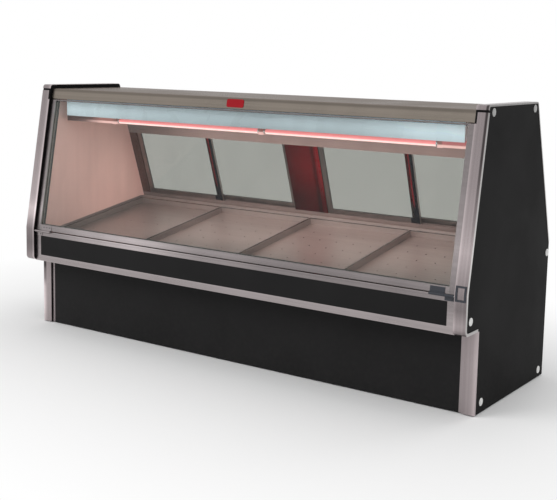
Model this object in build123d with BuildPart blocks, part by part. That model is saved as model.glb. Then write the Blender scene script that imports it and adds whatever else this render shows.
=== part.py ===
from build123d import *

import math
import os

os.makedirs("parts", exist_ok=True)

# Refrigerated display case with a sloping glass front and sliding rear doors.
# X runs along the case, the front faces -Y, Z is up, and the origin is on the floor under the middle.

# Overall sizes, in millimetres
case_length = 2502.0
case_depth = 864.0
case_height = 1265.0
floor_gap = 4.0

# Side profile of the case
base_setback = 119.0
nose_bottom = 356.0
nose_top = 526.0
glass_setback = 130.0
rear_setback = 218.0
knee_height = 629.0
nose_radius = 25.0

# How far the long faces stand behind the edges of the end panels
face_recess = 16.0
base_recess = 9.0
top_recess = 20.0
rear_recess = 14.0

# End panels, their edge trims and bolt caps
sheet = 1.5
end_thickness = 55.0
trim_bend = 16.0
front_leg = 12.0
rear_leg = 7.0
top_seam = 20.0
seam_gap = 10.0
notch_width = 9.0
notch_height = 46.0
cap_radius = 17.0
cap_height = 3.0
cap_edge = 1.2
base_front_cap = (63.0, 45.0)
base_rear_cap = (52.0, 33.0)
knee_cap = (19.0, 51.0)
nose_cap = (47.0, 56.0)
top_front_cap = (48.0, 30.0)
top_rear_cap = (34.0, 28.0)

# Insulated tub under the display
nose_depth = 14.0
insulation = 50.0
front_rim_drop = 15.0
rear_rim_drop = 7.0
front_ledge = 66.0
rear_ledge = 72.0
inner_wall = 36.0
pipe_clearance = 0.3

# Nose fascia and its black insert
lower_strip = 31.0
upper_strip = 24.5
side_strip = 36.0
insert_recess = 4.0
insert_thickness = 3.0

# Base
base_strip = 19.0
panel_return = 22.0
rear_return = 20.0
leg_size = 40.0
leg_wall = 2.5
leg_inset = 60.0
foot_height = 30.0
foot_plate = 4.0
pad_radius = 18.0
pad_height = 8.0
stem_radius = 6.0
stem_top = 70.0
nut_radius = 11.0
nut_height = 10.0
lower_rail_height = 60.0
rail_end_gap = 5.0

# Rear louvred panel
louvre_width = 170.0
louvre_slot = 8.0
louvre_reach = 7.0
louvre_pitch = 26.0
louvre_rows = 8
louvre_low = 80.0
louvre_step = 200.0

# Canopy and badge
fascia_height = 53.0
fascia_lip = 15.0
fascia_bend = 6.0
lip_bend = 2.0
header_flange = 30.0
header_lip = 27.0
header_lip_gap = 1.0
header_lip_rise = 12.0
badge_length = 97.0
badge_height = 38.0
badge_thickness = 2.0
badge_radius = 9.0

# Lamp row
housing_setback = 180.0
housing_depth = 120.0
housing_end_gap = 31.0
housing_drop = 138.0
housing_back_height = 60.0
housing_bend = 4.0
tube_radius = 13.0
tube_cap_length = 12.0
tube_cap_wall = 0.5
tube_standoff = 8.0
lamp_left_gap = 336.0
lamp_right_gap = 112.0
socket_width = 20.0
socket_grip = 18.0
socket_drop = 15.0
end_cover_drop = 26.0
ballast_length = 240.0
ballast_width = 60.0
ballast_height = 40.0
ballast_end_gap = 60.0

# Front glass and its frame
glass_side_gap = 2.0
glass_top_gap = 3.5
frame_drop = 5.0
frame_depth = 24.0
front_stile = 30.0
front_bottom_rail = 29.0
front_top_rail = 5.0
front_top_bite = 3.0
pane_thickness = 6.0
pane_depth = 7.0
pane_bite = 8.0
pane_clearance = 0.3
joint_gap = 0.2
gasket_thickness = 3.0
gasket_inset = 4.0
gasket_show = 9.0
gasket_top_show = 3.0
gasket_gap = 0.3

# Glass hinges
hinge_reach = 8.5
hinge_rise = 0.5
knuckle_radius = 6.0
pin_radius = 3.0
pin_clearance = 0.05
pin_head_radius = 4.5
pin_head = 2.0
hinge_end_gap = 4.0
fixed_knuckle = 44.0
moving_knuckle = 66.0
knuckle_gap = 0.5
leaf_thickness = 2.0
fixed_leaf_height = 22.0
moving_leaf_height = 24.0
guard_thickness = 3.0
guard_width = 46.0
guard_low = 30.0
guard_high = 34.0
guard_border = 8.0

# Rear doors and their tracks
track_wall = 2.0
track_depth = 12.0
door_thickness = 12.0
door_side_clearance = 1.0
sill_rise = 22.0
opening_top = 428.0
door_seat_gap = 0.3
door_lift_room = 4.0
jamb_width = 55.0
mullion_width = 200.0
door_gap = 1.5
door_overlap = 50.0
door_stile = 26.0
door_bottom_rail = 36.0
door_top_rail = 34.0
door_pane = 5.0
pull_width = 10.0
pull_length = 120.0
pull_depth = 7.0
pull_edge = 5.0

# Deck pans and supports
deck_drop = 45.0
pan_count = 4
pan_gap = 2.0
pan_clearance = 3.0
pan_rim = 35.0
pan_seat_gap = 0.3
support_width = 26.0
support_drop = 30.0
middle_support = 300.0
middle_leg_count = 5
middle_leg_length = 40.0
pan_hole_radius = 4.0
pan_hole_columns = 5
pan_hole_rows = 6
pan_hole_pitch = 95.0

# Evaporator coil in the tub
coil_turn_gap = 102.0
coil_front_gap = 12.5
coil_rear_gap = 58.5
coil_fin_height = 66.0
coil_clearance = 16.0
coil_tube_radius = 8.0
coil_passes = 6
coil_fin_count = 24
fin_thickness = 1.5
turn_share = 0.49

# Drain
drain_end_gap = 460.0
drain_setback = 260.0
drain_radius = 21.0
drain_wall = 2.5
drain_flange_radius = 38.0
drain_flange = 3.0
drain_tail = 66.0
drain_collar = 6.0
drain_step = 1.0
strainer_radius = 32.0
strainer_height = 12.0
strainer_hole_radius = 3.0
strainer_hole_circle = 16.0
strainer_hole_count = 8

# Condensing unit in the base
unit_end_gap = 576.0
tray_length = 700.0
tray_edge = 14.0
tray_margin = 5.0
compressor_offset = 190.0
compressor_setback = 400.0
compressor_radius = 82.0
compressor_height = 175.0
compressor_dome = 40.0
compressor_foot = 6.0
compressor_foot_width = 200.0
condenser_width = 400.0
condenser_height = 200.0
condenser_depth = 44.0
condenser_rear_gap = 6.0
condenser_fin_count = 26
condenser_passes = 6
condenser_tube_radius = 5.0
shroud_depth = 14.0
shroud_hole_radius = 92.0
shroud_ring = 22.0
fan_radius = 82.0
fan_hub_radius = 20.0
fan_hub_length = 22.0
fan_blades = 5
blade_chord = 46.0
blade_thickness = 2.0
blade_pitch = 28.0
fan_ring_gap = 4.0
shaft_radius = 4.0
shaft_clearance = 0.05
motor_radius = 38.0
motor_length = 70.0
motor_gap = 6.0
motor_foot_width = 60.0

# Refrigerant lines
suction_radius = 8.0
liquid_radius = 5.0
line_bend = 22.0
suction_end_gap = 68.0
liquid_end_gap = 32.0
discharge_offset = 285.0
line_run_drop = 22.0

# Control box, knob, rocker and cord gland on the rear panel
control_end_gap = 316.0
control_height = 225.0
control_length = 240.0
control_tall = 150.0
control_depth = 70.0
control_border = 10.0
knob_offset = 55.0
knob_radius = 20.0
knob_height = 11.0
knob_skirt = 3.0
knob_core = 0.6
knob_gap = 0.4
knob_stem_radius = 3.0
knob_stem_length = 7.0
rocker_offset = 55.0
rocker_width = 14.0
rocker_radius = 10.0
rocker_clearance = 0.4
rocker_inward = 3.0
rocker_tilt = 10.0
rocker_opening = 110.0
gland_offset = 260.0
gland_height = 110.0
gland_radius = 12.0
gland_bore = 5.0
gland_neck = 9.0
gland_outside = 11.0
gland_nut = 6.0

# Places that follow from the sizes
half_length = case_length / 2
inner_x = half_length - end_thickness
face_x = half_length - sheet
wall_x = inner_x - inner_wall
front_y = (guard_thickness - case_depth) / 2
rear_y = front_y + case_depth
base_y = front_y + base_setback
top_z = case_height - top_recess
front_rim = nose_top - front_rim_drop
rear_rim = knee_height - rear_rim_drop
front_lean = math.atan2(glass_setback, case_height - nose_top)
rear_lean = math.atan2(rear_setback, case_height - knee_height)

# Plane of the sloping front, facing out, and plane of the sloping rear, facing in
front_plane = Plane(
    origin=(0, front_y, nose_top),
    x_dir=(1, 0, 0),
    z_dir=(0, -math.cos(front_lean), math.sin(front_lean)),
)
rear_plane = Plane(
    origin=(0, rear_y, knee_height),
    x_dir=(1, 0, 0),
    z_dir=(0, -math.cos(rear_lean), -math.sin(rear_lean)),
)


def on_front(height, inward):
    """Y at a height, on the plane a distance inward of the sloping front."""
    return front_y + (height - nose_top) * math.tan(front_lean) + inward / math.cos(front_lean)


def on_rear(height, inward):
    """Y at a height, on the plane a distance inward of the sloping rear."""
    return rear_y - (height - knee_height) * math.tan(rear_lean) - inward / math.cos(rear_lean)


def rear_point(up, inward):
    """Y and Z of a point given by its distance up the rear slope and inward of it."""
    y = rear_y - up * math.sin(rear_lean) - inward * math.cos(rear_lean)
    z = knee_height + up * math.cos(rear_lean) - inward * math.sin(rear_lean)
    return (y, z)


def block(x, y, z, plane=Plane.XY, mode=Mode.ADD):
    """A box between two values on each axis of a plane."""
    with BuildSketch(plane.offset(z[0])) as face:
        with Locations(((x[0] + x[1]) / 2, (y[0] + y[1]) / 2)):
            Rectangle(x[1] - x[0], y[1] - y[0])
    extrude(face.sketch, amount=z[1] - z[0], dir=plane.z_dir, mode=mode)


def prism(points, x, margin=0.0, mode=Mode.ADD):
    """A closed outline in Y and Z, drawn in by a margin and carried along X."""
    with BuildSketch(Plane.YZ.offset(x[0])) as face:
        with BuildLine():
            Polyline(*points, close=True)
        make_face()
        if margin:
            offset(amount=-margin, kind=Kind.INTERSECTION)
    extrude(face.sketch, amount=x[1] - x[0], dir=Plane.YZ.z_dir, mode=mode)


def inset(path, distance):
    """An open path in Y and Z moved to its right by a distance, with mitred corners."""
    starts = []
    ways = []
    for start, end in zip(path, path[1:]):
        way = (Vector(*end) - Vector(*start)).normalized()
        right = Vector(way.Y, -way.X)
        starts.append(Vector(*start) + right * distance)
        ways.append(way)
    corners = [starts[0]]
    for first, second, way, next_way in zip(starts, starts[1:], ways, ways[1:]):
        reach = (second - first).cross(next_way).Z / way.cross(next_way).Z
        corners.append(first + way * reach)
    corners.append(Vector(*path[-1]) + right * distance)
    return [(corner.X, corner.Y) for corner in corners]


def strip(path, bends, width, x, mode=Mode.ADD):
    """A bent band along an open path in Y and Z, its width on the path's right, carried along X."""
    inner_bends = [max(bend - width, 0.0) for bend in bends]
    with BuildSketch(Plane.YZ.offset(x[0])) as face:
        with BuildLine():
            outer = FilletPolyline(*path, radius=bends)
            inner = FilletPolyline(*inset(path, width), radius=inner_bends)
            Line(outer @ 0, inner @ 0)
            Line(outer @ 1, inner @ 1)
        make_face()
    extrude(face.sketch, amount=x[1] - x[0], dir=Plane.YZ.z_dir, mode=mode)


def rod(start, end, radius, mode=Mode.ADD):
    """A round bar from one point to another."""
    way = Vector(*end) - Vector(*start)
    with BuildSketch(Plane(origin=start, z_dir=way)) as face:
        Circle(radius)
    extrude(face.sketch, amount=way.length, dir=way, mode=mode)


def pipe(points, bend, radius):
    """A round tube's outside along straight runs joined by bends."""
    with BuildLine() as route:
        FilletPolyline(*points, radius=bend)
    with BuildSketch(Plane(origin=points[0], z_dir=route.line % 0)) as face:
        Circle(radius)
    sweep(face.sketch, path=route.line)


def bars(plane, x, y, z, stile, bottom_rail, top_rail, pane, bite, top_bite):
    """Two stiles and two rails on a plane, with a groove for a pane round the inside."""
    block((x[0], x[0] + stile), y, z, plane)
    block((x[1] - stile, x[1]), y, z, plane)
    between = (x[0] + stile + joint_gap, x[1] - stile - joint_gap)
    block(between, (y[0], y[0] + bottom_rail), z, plane)
    block(between, (y[1] - top_rail, y[1]), z, plane)
    groove_x = (x[0] + stile - bite, x[1] - stile + bite)
    groove_y = (y[0] + bottom_rail - bite, y[1] - top_rail + top_bite)
    groove_z = (pane[0] - pane_clearance, pane[1] + pane_clearance)
    block(groove_x, groove_y, groove_z, plane, mode=Mode.SUBTRACT)


def save(piece, name):
    """Labels a finished piece and writes its file."""
    piece.part.label = name
    export_step(piece.part, f"parts/{name}.step")


# Edge of an end panel from the nose's underside, up the front, over the top and down the rear slope
edge_path = [
    (base_y + sheet, nose_bottom),
    (front_y, nose_bottom),
    (front_y, nose_top),
    (front_y + glass_setback, case_height),
    (rear_y - rear_setback, case_height),
    (rear_y, knee_height),
]
edge_bends = [nose_radius, trim_bend, trim_bend, trim_bend]
core_bends = [bend - sheet for bend in edge_bends]


def down_front(distance):
    """Y and Z of a point on the sloping front, a distance below its top."""
    y = front_y + glass_setback - distance * math.sin(front_lean)
    return (y, case_height - distance * math.cos(front_lean))


front_path = edge_path[:3] + [down_front(top_seam + seam_gap)]
rear_path = [down_front(top_seam)] + edge_path[3:]


def end_core(x, margin=0.0):
    """An end panel inside its edge trims, drawn in by a margin and carried along X."""
    with BuildSketch(Plane.YZ.offset(x[0])) as face:
        with BuildLine():
            edge = FilletPolyline(*inset(edge_path, sheet), radius=core_bends)
            foot = [(rear_y, floor_gap), (base_y + sheet, floor_gap)]
            Polyline(edge @ 1, edge_path[-1], *foot, edge @ 0)
        make_face()
        if margin:
            offset(amount=-margin, kind=Kind.INTERSECTION)
    return extrude(face.sketch, amount=x[1] - x[0], dir=Plane.YZ.z_dir, mode=Mode.PRIVATE)


# End panels: a black skin round an insulated core
core_x = (inner_x + sheet, face_x - sheet)
with BuildPart() as right_end_panel:
    add(end_core((inner_x, face_x)))
    add(end_core(core_x, margin=sheet), mode=Mode.SUBTRACT)
save(right_end_panel, "right_end_panel")

with BuildPart() as left_end_panel:
    mirror(right_end_panel.part, about=Plane.YZ)
save(left_end_panel, "left_end_panel")

# Stainless trim up the nose and the glass slope, with a leg on the outer face and a notch beside the canopy
with BuildPart() as front_edge_trims:
    strip(front_path, edge_bends[:2], sheet, (inner_x, half_length))
    strip(front_path, edge_bends[:2], front_leg, (face_x, half_length))
    _, notch_low = down_front(top_seam + seam_gap + notch_height)
    notch_x = (inner_x, inner_x + notch_width)
    block(notch_x, (front_y, rear_y), (notch_low, case_height), mode=Mode.SUBTRACT)
    mirror(about=Plane.YZ)
save(front_edge_trims, "front_edge_trims")

# Stainless trim over the top and down the rear slope
with BuildPart() as rear_edge_trims:
    strip(rear_path, edge_bends[2:], sheet, (inner_x, half_length))
    strip(rear_path, edge_bends[2:], rear_leg, (face_x, half_length))
    mirror(about=Plane.YZ)
save(rear_edge_trims, "rear_edge_trims")

# Stainless corner trims and side strips of the base front
base_panel_y = base_y + base_recess
strip_x = inner_x - base_strip
with BuildPart() as base_front_trims:
    block((inner_x, half_length), (base_y, base_y + sheet), (floor_gap, nose_bottom))
    block((face_x, half_length), (base_y, base_y + front_leg), (floor_gap, nose_bottom))
    block((strip_x, inner_x), (base_panel_y, base_panel_y + sheet), (floor_gap, nose_bottom))
    strip_back = base_panel_y + panel_return
    block((inner_x - sheet, inner_x), (base_panel_y, strip_back), (floor_gap, nose_bottom))
    mirror(about=Plane.YZ)
save(base_front_trims, "base_front_trims")

# Bolt caps on the outer faces, each near an edge or corner of the end panel
cap_places = [
    (base_y + base_front_cap[0], floor_gap + base_front_cap[1]),
    (rear_y - base_rear_cap[0], floor_gap + base_rear_cap[1]),
    (rear_y - knee_cap[0], knee_height - knee_cap[1]),
    (front_y + nose_cap[0], nose_bottom + nose_cap[1]),
    (front_y + glass_setback + top_front_cap[0], case_height - top_front_cap[1]),
    (rear_y - rear_setback - top_rear_cap[0], case_height - top_rear_cap[1]),
]
with BuildPart() as bolt_caps:
    with BuildSketch(Plane.YZ.offset(face_x)):
        with Locations(*cap_places):
            Circle(cap_radius)
    extrude(amount=cap_height)
    fillet(bolt_caps.faces().sort_by(Axis.X)[-len(cap_places):].edges(), cap_edge)
    mirror(about=Plane.YZ)
save(bolt_caps, "bolt_caps")

# Tub: outer shell, foam and stainless liner under a rim that rises to the rear
tub_front = front_y + face_recess + nose_depth
tub_rear = rear_y - rear_recess
liner_front = tub_front + insulation
liner_rear = tub_rear - insulation
liner_floor = nose_bottom + insulation
rim = [
    (tub_front, front_rim),
    (tub_front + front_ledge, front_rim),
    (tub_rear - rear_ledge, rear_rim),
    (tub_rear, rear_rim),
]
rim_slope = (rear_rim - front_rim) / (rim[2][0] - rim[1][0])


def rim_height(y):
    """Height of the tub's rim at a place between its front and rear."""
    return front_rim + rim_slope * (min(max(y, rim[1][0]), rim[2][0]) - rim[1][0])


def below_rim(front, rear, floor, lift=0.0):
    """Outline in Y and Z from a floor up to the rim, or a lift above it."""
    breaks = [point[0] for point in rim[1:3] if front < point[0] < rear]
    tops = [(y, rim_height(y) + lift) for y in [front, *breaks, rear]]
    return [(front, floor), *tops, (rear, floor)]


well_front = liner_front + sheet
well_rear = liner_rear - sheet
well_floor = liner_floor + sheet
middle_y = (well_front + middle_support, well_front + middle_support + support_width)
coil_y = (middle_y[1] + coil_front_gap, well_rear - coil_rear_gap)
coil_pitch = (coil_y[1] - coil_y[0]) / coil_passes
coil_rows = [coil_y[0] + (count + 0.5) * coil_pitch for count in range(coil_passes)]
suction_x = wall_x - suction_end_gap
suction_y = coil_rows[-1]
liquid_x = wall_x - liquid_end_gap
liquid_y = coil_rows[0]
drain_x = drain_end_gap - wall_x
drain_y = front_y + drain_setback
floor_pipes = [
    (suction_x, suction_y, suction_radius),
    (liquid_x, liquid_y, liquid_radius),
    (drain_x, drain_y, drain_radius),
]


def floor_holes():
    """Holes through the tub's floor for the refrigerant lines and the drain."""
    for x, y, radius in floor_pipes:
        start = (x, y, nose_bottom - sheet)
        end = (x, y, liner_floor + 2 * sheet)
        rod(start, end, radius + pipe_clearance, mode=Mode.SUBTRACT)


well_x = (-wall_x + sheet, wall_x - sheet)
with BuildPart() as tub_shell:
    prism(below_rim(tub_front, tub_rear, nose_bottom), (-inner_x, inner_x))
    hollow = below_rim(tub_front + sheet, tub_rear - sheet, nose_bottom + sheet, case_height)
    prism(hollow, (-inner_x, inner_x), mode=Mode.SUBTRACT)
    floor_holes()
save(tub_shell, "tub_shell")

with BuildPart() as tank_liner:
    prism(below_rim(liner_front, liner_rear, liner_floor, sheet), (-wall_x, wall_x))
    flange = rim + [(y, z + sheet) for y, z in reversed(rim)]
    prism(flange, (-inner_x, inner_x))
    well_y = (liner_front + sheet, liner_rear - sheet)
    block(well_x, well_y, (liner_floor + sheet, case_height), mode=Mode.SUBTRACT)
    floor_holes()
save(tank_liner, "tank_liner")

# Nose fascia, a pan with a shallow pocket, and the black insert in the pocket
nose_y = front_y + face_recess
fascia_low = nose_bottom
fascia_high = front_rim + sheet
insert_x = inner_x - side_strip
insert_z = (fascia_low + lower_strip, fascia_high - upper_strip)
with BuildPart() as nose_fascia:
    block((-inner_x, inner_x), (nose_y, tub_front), (fascia_low, fascia_high))
    inside_x = (-inner_x + sheet, inner_x - sheet)
    inside_z = (fascia_low + sheet, fascia_high - sheet)
    block(inside_x, (nose_y + sheet, tub_front), inside_z, mode=Mode.SUBTRACT)
    pocket_x = (-insert_x - sheet, insert_x + sheet)
    pocket_z = (insert_z[0] - sheet, insert_z[1] + sheet)
    block(pocket_x, (nose_y, nose_y + insert_recess + sheet), pocket_z)
    block((-insert_x, insert_x), (nose_y, nose_y + insert_recess), insert_z, mode=Mode.SUBTRACT)
save(nose_fascia, "nose_fascia")

with BuildPart() as nose_insert:
    insert_back = nose_y + insert_recess
    block((-insert_x, insert_x), (insert_back - insert_thickness, insert_back), insert_z)
save(nose_insert, "nose_insert")

# Base: legs on levelling feet, long rails, and the front and rear panels
leg_front = base_panel_y + panel_return
leg_rear = rear_y - rear_recess - rear_return
leg_top = nose_bottom - leg_size
leg_columns = [leg_inset - inner_x, 0.0, inner_x - leg_inset]
leg_rows = [leg_front + leg_size / 2, leg_rear - leg_size / 2]
leg_places = [(x, y) for x in leg_columns for y in leg_rows]

with BuildPart() as base_legs:
    for x, y in leg_places:
        half = leg_size / 2
        hollow = half - leg_wall
        block((x - half, x + half), (y - half, y + half), (foot_height, leg_top))
        inside_z = (foot_height + foot_plate, leg_top)
        block((x - hollow, x + hollow), (y - hollow, y + hollow), inside_z, mode=Mode.SUBTRACT)
        rod((x, y, foot_height), (x, y, leg_top), stem_radius + pin_clearance, mode=Mode.SUBTRACT)
save(base_legs, "base_legs")

with BuildPart() as levelling_feet:
    for x, y in leg_places:
        rod((x, y, 0), (x, y, pad_height), pad_radius)
        rod((x, y, pad_height), (x, y, stem_top), stem_radius)
        with BuildSketch(Plane.XY.offset(foot_height - nut_height)):
            with Locations((x, y)):
                RegularPolygon(nut_radius, 6)
        extrude(amount=nut_height)
save(levelling_feet, "levelling_feet")

rail_x = (-inner_x + rail_end_gap, inner_x - rail_end_gap)
rail_hollow = leg_size - 2 * leg_wall
upper_rail_z = (leg_top, nose_bottom)
lower_rail_z = (lower_rail_height, lower_rail_height + leg_size)
rail_places = [
    (leg_front, upper_rail_z),
    (leg_rear - leg_size, upper_rail_z),
    (leg_front + leg_size, lower_rail_z),
    (leg_rear - 2 * leg_size, lower_rail_z),
]
with BuildPart() as base_rails:
    for y, z in rail_places:
        block(rail_x, (y, y + leg_size), z)
        inside_y = (y + leg_wall, y + leg_wall + rail_hollow)
        inside_z = (z[0] + leg_wall, z[1] - leg_wall)
        block(rail_x, inside_y, inside_z, mode=Mode.SUBTRACT)
save(base_rails, "base_rails")

with BuildPart() as base_front_panel:
    panel_z = (floor_gap, nose_bottom)
    block((-strip_x, strip_x), (base_panel_y, leg_front), panel_z)
    inside_x = (-strip_x + sheet, strip_x - sheet)
    inside_z = (floor_gap + sheet, nose_bottom - sheet)
    block(inside_x, (base_panel_y + sheet, leg_front), inside_z, mode=Mode.SUBTRACT)
save(base_front_panel, "base_front_panel")

unit_x = inner_x - unit_end_gap
control_x = control_end_gap - inner_x
gland_x = control_x + gland_offset
louvre_columns = [
    gland_x + louvre_step,
    gland_x + 2 * louvre_step,
    unit_x - louvre_step / 2,
    unit_x + louvre_step / 2,
]
control_x_range = (control_x - control_length / 2, control_x + control_length / 2)
control_z = (control_height - control_tall / 2, control_height + control_tall / 2)
with BuildPart() as rear_louvre_panel:
    panel_front = tub_rear - sheet
    block((-inner_x, inner_x), (leg_rear, tub_rear), (floor_gap, nose_bottom))
    inside_x = (-inner_x + sheet, inner_x - sheet)
    inside_z = (floor_gap + sheet, nose_bottom - sheet)
    block(inside_x, (leg_rear, panel_front), inside_z, mode=Mode.SUBTRACT)
    for row in range(louvre_rows):
        slot_z = louvre_low + row * louvre_pitch
        hood = [
            (tub_rear, slot_z + 2 * louvre_slot),
            (tub_rear + louvre_reach, slot_z),
            (tub_rear + louvre_reach - sheet, slot_z),
            (tub_rear, slot_z + 2 * louvre_slot - 2 * sheet),
        ]
        for x in louvre_columns:
            slot_x = (x - louvre_width / 2, x + louvre_width / 2)
            block(slot_x, (panel_front, tub_rear), (slot_z, slot_z + louvre_slot), mode=Mode.SUBTRACT)
            prism(hood, slot_x)
    block(control_x_range, (panel_front, tub_rear), control_z, mode=Mode.SUBTRACT)
    gland_hole = gland_neck + pipe_clearance
    rod((gland_x, panel_front, gland_height), (gland_x, tub_rear, gland_height), gland_hole, Mode.SUBTRACT)
save(rear_louvre_panel, "rear_louvre_panel")

# Canopy top with its front fascia, and the blank badge plate on the fascia
fascia_bottom = top_z - fascia_height
canopy_path = [
    (on_front(fascia_bottom, face_recess) + fascia_lip, fascia_bottom),
    (on_front(fascia_bottom, face_recess), fascia_bottom),
    (on_front(top_z, face_recess), top_z),
    (on_rear(top_z, rear_recess), top_z),
]
with BuildPart() as canopy_top:
    strip(canopy_path, [lip_bend, fascia_bend], sheet, (-inner_x, inner_x))
save(canopy_top, "canopy_top")

frame_plane = front_plane.offset(-face_recess)


def up_front(height):
    """Distance up the glass frame's plane to a height."""
    return (height - frame_plane.origin.Z) / math.cos(front_lean)


with BuildPart() as badge_plate:
    with BuildSketch(frame_plane):
        with Locations((0, up_front((fascia_bottom + top_z) / 2))):
            RectangleRounded(badge_length, badge_height, badge_radius)
    extrude(amount=badge_thickness)
save(badge_plate, "badge_plate")

# Path of the rear header's sheet, down the rear slope from the canopy to the door opening
under_canopy = top_z - sheet
header_path = [
    (on_rear(under_canopy, rear_recess) - header_flange, under_canopy),
    (on_rear(under_canopy, rear_recess), under_canopy),
    rear_point(opening_top, rear_recess),
]
# Door tracks: walls and channels, counted inward from the header
channel = door_thickness + 2 * door_side_clearance
track_start = rear_recess + sheet
track_steps = [track_wall, channel, track_wall, channel, track_wall]
walls = [track_start + sum(track_steps[:count]) for count in range(len(track_steps) + 1)]
track_x = (-inner_x, inner_x)
upper_floor = opening_top + track_depth
sill_top = sill_rise + track_depth


def comb(edge, root):
    """Points of three track walls from their edges to the channels' floor, from outside inward."""
    ups = [edge, root, root, edge, edge, root, root, edge]
    inwards = [walls[1], walls[1], walls[2], walls[2], walls[3], walls[3], walls[4], walls[4]]
    return [rear_point(up, inward) for up, inward in zip(ups, inwards)]


with BuildPart() as door_tracks:
    teeth = comb(opening_top, upper_floor)
    track_top = upper_floor + track_wall
    ends = [rear_point(opening_top, walls[5]), rear_point(track_top, walls[5])]
    starts = [rear_point(track_top, walls[0]), rear_point(opening_top, walls[0])]
    prism(teeth + ends + starts, track_x)
    sill_bottom = rear_rim + sheet
    teeth = comb(sill_top, sill_rise)
    ends = [rear_point(sill_top, walls[5]), (on_rear(sill_bottom, walls[5]), sill_bottom)]
    starts = [(on_rear(sill_bottom, rear_recess), sill_bottom), rear_point(sill_top, rear_recess)]
    prism(teeth + ends + starts, track_x)
save(door_tracks, "door_tracks")

# Rear header, with a lip inside the upper track that hides the doors' top rails
with BuildPart() as rear_header:
    strip(header_path, [lip_bend], sheet, (-inner_x, inner_x))
    lip_x = wall_x - header_lip_gap
    lip_up = (opening_top - header_lip, track_top + header_lip_rise)
    block((-lip_x, lip_x), lip_up, (walls[5], walls[5] + sheet), rear_plane)
save(rear_header, "rear_header")

# Jambs at the ends of the doors and the mullion between the two pairs
opening_x = wall_x - jamb_width
post_up = (sill_top, opening_top)
post_in = (walls[0], walls[5])
with BuildPart() as door_jambs:
    block((opening_x, inner_x), post_up, post_in, rear_plane)
    mirror(about=Plane.YZ)
save(door_jambs, "door_jambs")

with BuildPart() as centre_mullion:
    block((-mullion_width / 2, mullion_width / 2), post_up, post_in, rear_plane)
save(centre_mullion, "centre_mullion")

# Sliding doors: the first of each pair runs in the inner channel, the second in the outer one
door_width = (opening_x - mullion_width / 2 - 2 * door_gap + door_overlap) / 2
door_up = (sill_rise + door_seat_gap, upper_floor - door_lift_room)
for pair, pair_start in enumerate((-opening_x, mullion_width / 2)):
    pair_end = pair_start + opening_x - mullion_width / 2
    inner_door = (pair_start + door_gap, walls[3] + door_side_clearance)
    outer_door = (pair_end - door_gap - door_width, walls[1] + door_side_clearance)
    for place, (door_start, door_in) in enumerate((inner_door, outer_door)):
        number = 2 * pair + place + 1
        door_x = (door_start, door_start + door_width)
        door_z = (door_in, door_in + door_thickness)
        pane_start = door_in + (door_thickness - door_pane) / 2
        pane_z = (pane_start, pane_start + door_pane)
        pull_start = door_x[0] + pull_edge
        if place == 1:
            pull_start = door_x[1] - pull_edge - pull_width
        pull_middle = (door_up[0] + door_up[1]) / 2
        pull_up = (pull_middle - pull_length / 2, pull_middle + pull_length / 2)

        with BuildPart() as door_frame:
            rails = (door_bottom_rail, door_top_rail)
            bites = (pane_bite, pane_bite)
            bars(rear_plane, door_x, door_up, door_z, door_stile, *rails, pane_z, *bites)
            pull_x = (pull_start, pull_start + pull_width)
            block(pull_x, pull_up, (door_in, door_in + pull_depth), rear_plane, mode=Mode.SUBTRACT)
        save(door_frame, f"door_{number}_frame")

        with BuildPart() as door_glass:
            edge = pane_bite - pane_clearance
            glass_x = (door_x[0] + door_stile - edge, door_x[1] - door_stile + edge)
            glass_up = (door_up[0] + door_bottom_rail - edge, door_up[1] - door_top_rail + edge)
            block(glass_x, glass_up, pane_z, rear_plane)
        save(door_glass, f"door_{number}_glass")

# Tilting front glass: frame bars, pane and gasket
glass_x = (-inner_x + glass_side_gap, inner_x - glass_side_gap)
glass_up = (-frame_drop, up_front(fascia_bottom) - glass_top_gap)
front_pane = (-pane_depth - pane_thickness, -pane_depth)
with BuildPart() as glass_frame:
    rails = (front_bottom_rail, front_top_rail)
    bites = (pane_bite, front_top_bite)
    bars(frame_plane, glass_x, glass_up, (-frame_depth, 0), front_stile, *rails, front_pane, *bites)
save(glass_frame, "glass_frame")

with BuildPart() as front_glass:
    edge = pane_bite - pane_clearance
    pane_x = (glass_x[0] + front_stile - edge, glass_x[1] - front_stile + edge)
    top_edge = front_top_bite - pane_clearance
    pane_up = (glass_up[0] + front_bottom_rail - edge, glass_up[1] - front_top_rail + top_edge)
    block(pane_x, pane_up, front_pane, frame_plane)
save(front_glass, "front_glass")

gasket_back = frame_depth + gasket_thickness
with BuildPart() as glass_gasket:
    ring_x = (glass_x[0] + gasket_inset, glass_x[1] - gasket_inset)
    ring_up = (glass_up[0] + gasket_inset, glass_up[1] - gasket_inset)
    block(ring_x, ring_up, (-gasket_back, -frame_depth), frame_plane)
    hole_x = (glass_x[0] + front_stile + gasket_show, glass_x[1] - front_stile - gasket_show)
    hole_top = glass_up[1] - front_top_rail - gasket_top_show
    hole_up = (glass_up[0] + front_bottom_rail + gasket_show, hole_top)
    block(hole_x, hole_up, (-gasket_back, -frame_depth), frame_plane, mode=Mode.SUBTRACT)
save(glass_gasket, "glass_gasket")

# Glass hinges: fixed knuckles on the nose, moving knuckles on the bottom rail, pins through both, and a
# windowed guard on the right end trim
hinge_y = nose_y - hinge_reach
hinge_z = fascia_high + hinge_rise
fixed_x = (inner_x - hinge_end_gap - fixed_knuckle, inner_x - hinge_end_gap)
moving_x = (fixed_x[0] - knuckle_gap - moving_knuckle, fixed_x[0] - knuckle_gap)


def hinge_bore(x):
    """Hole for the hinge pin through a knuckle."""
    bore = pin_radius + pin_clearance
    rod((x[0], hinge_y, hinge_z), (x[1], hinge_y, hinge_z), bore, mode=Mode.SUBTRACT)


guard_bend = trim_bend + guard_thickness


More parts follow.
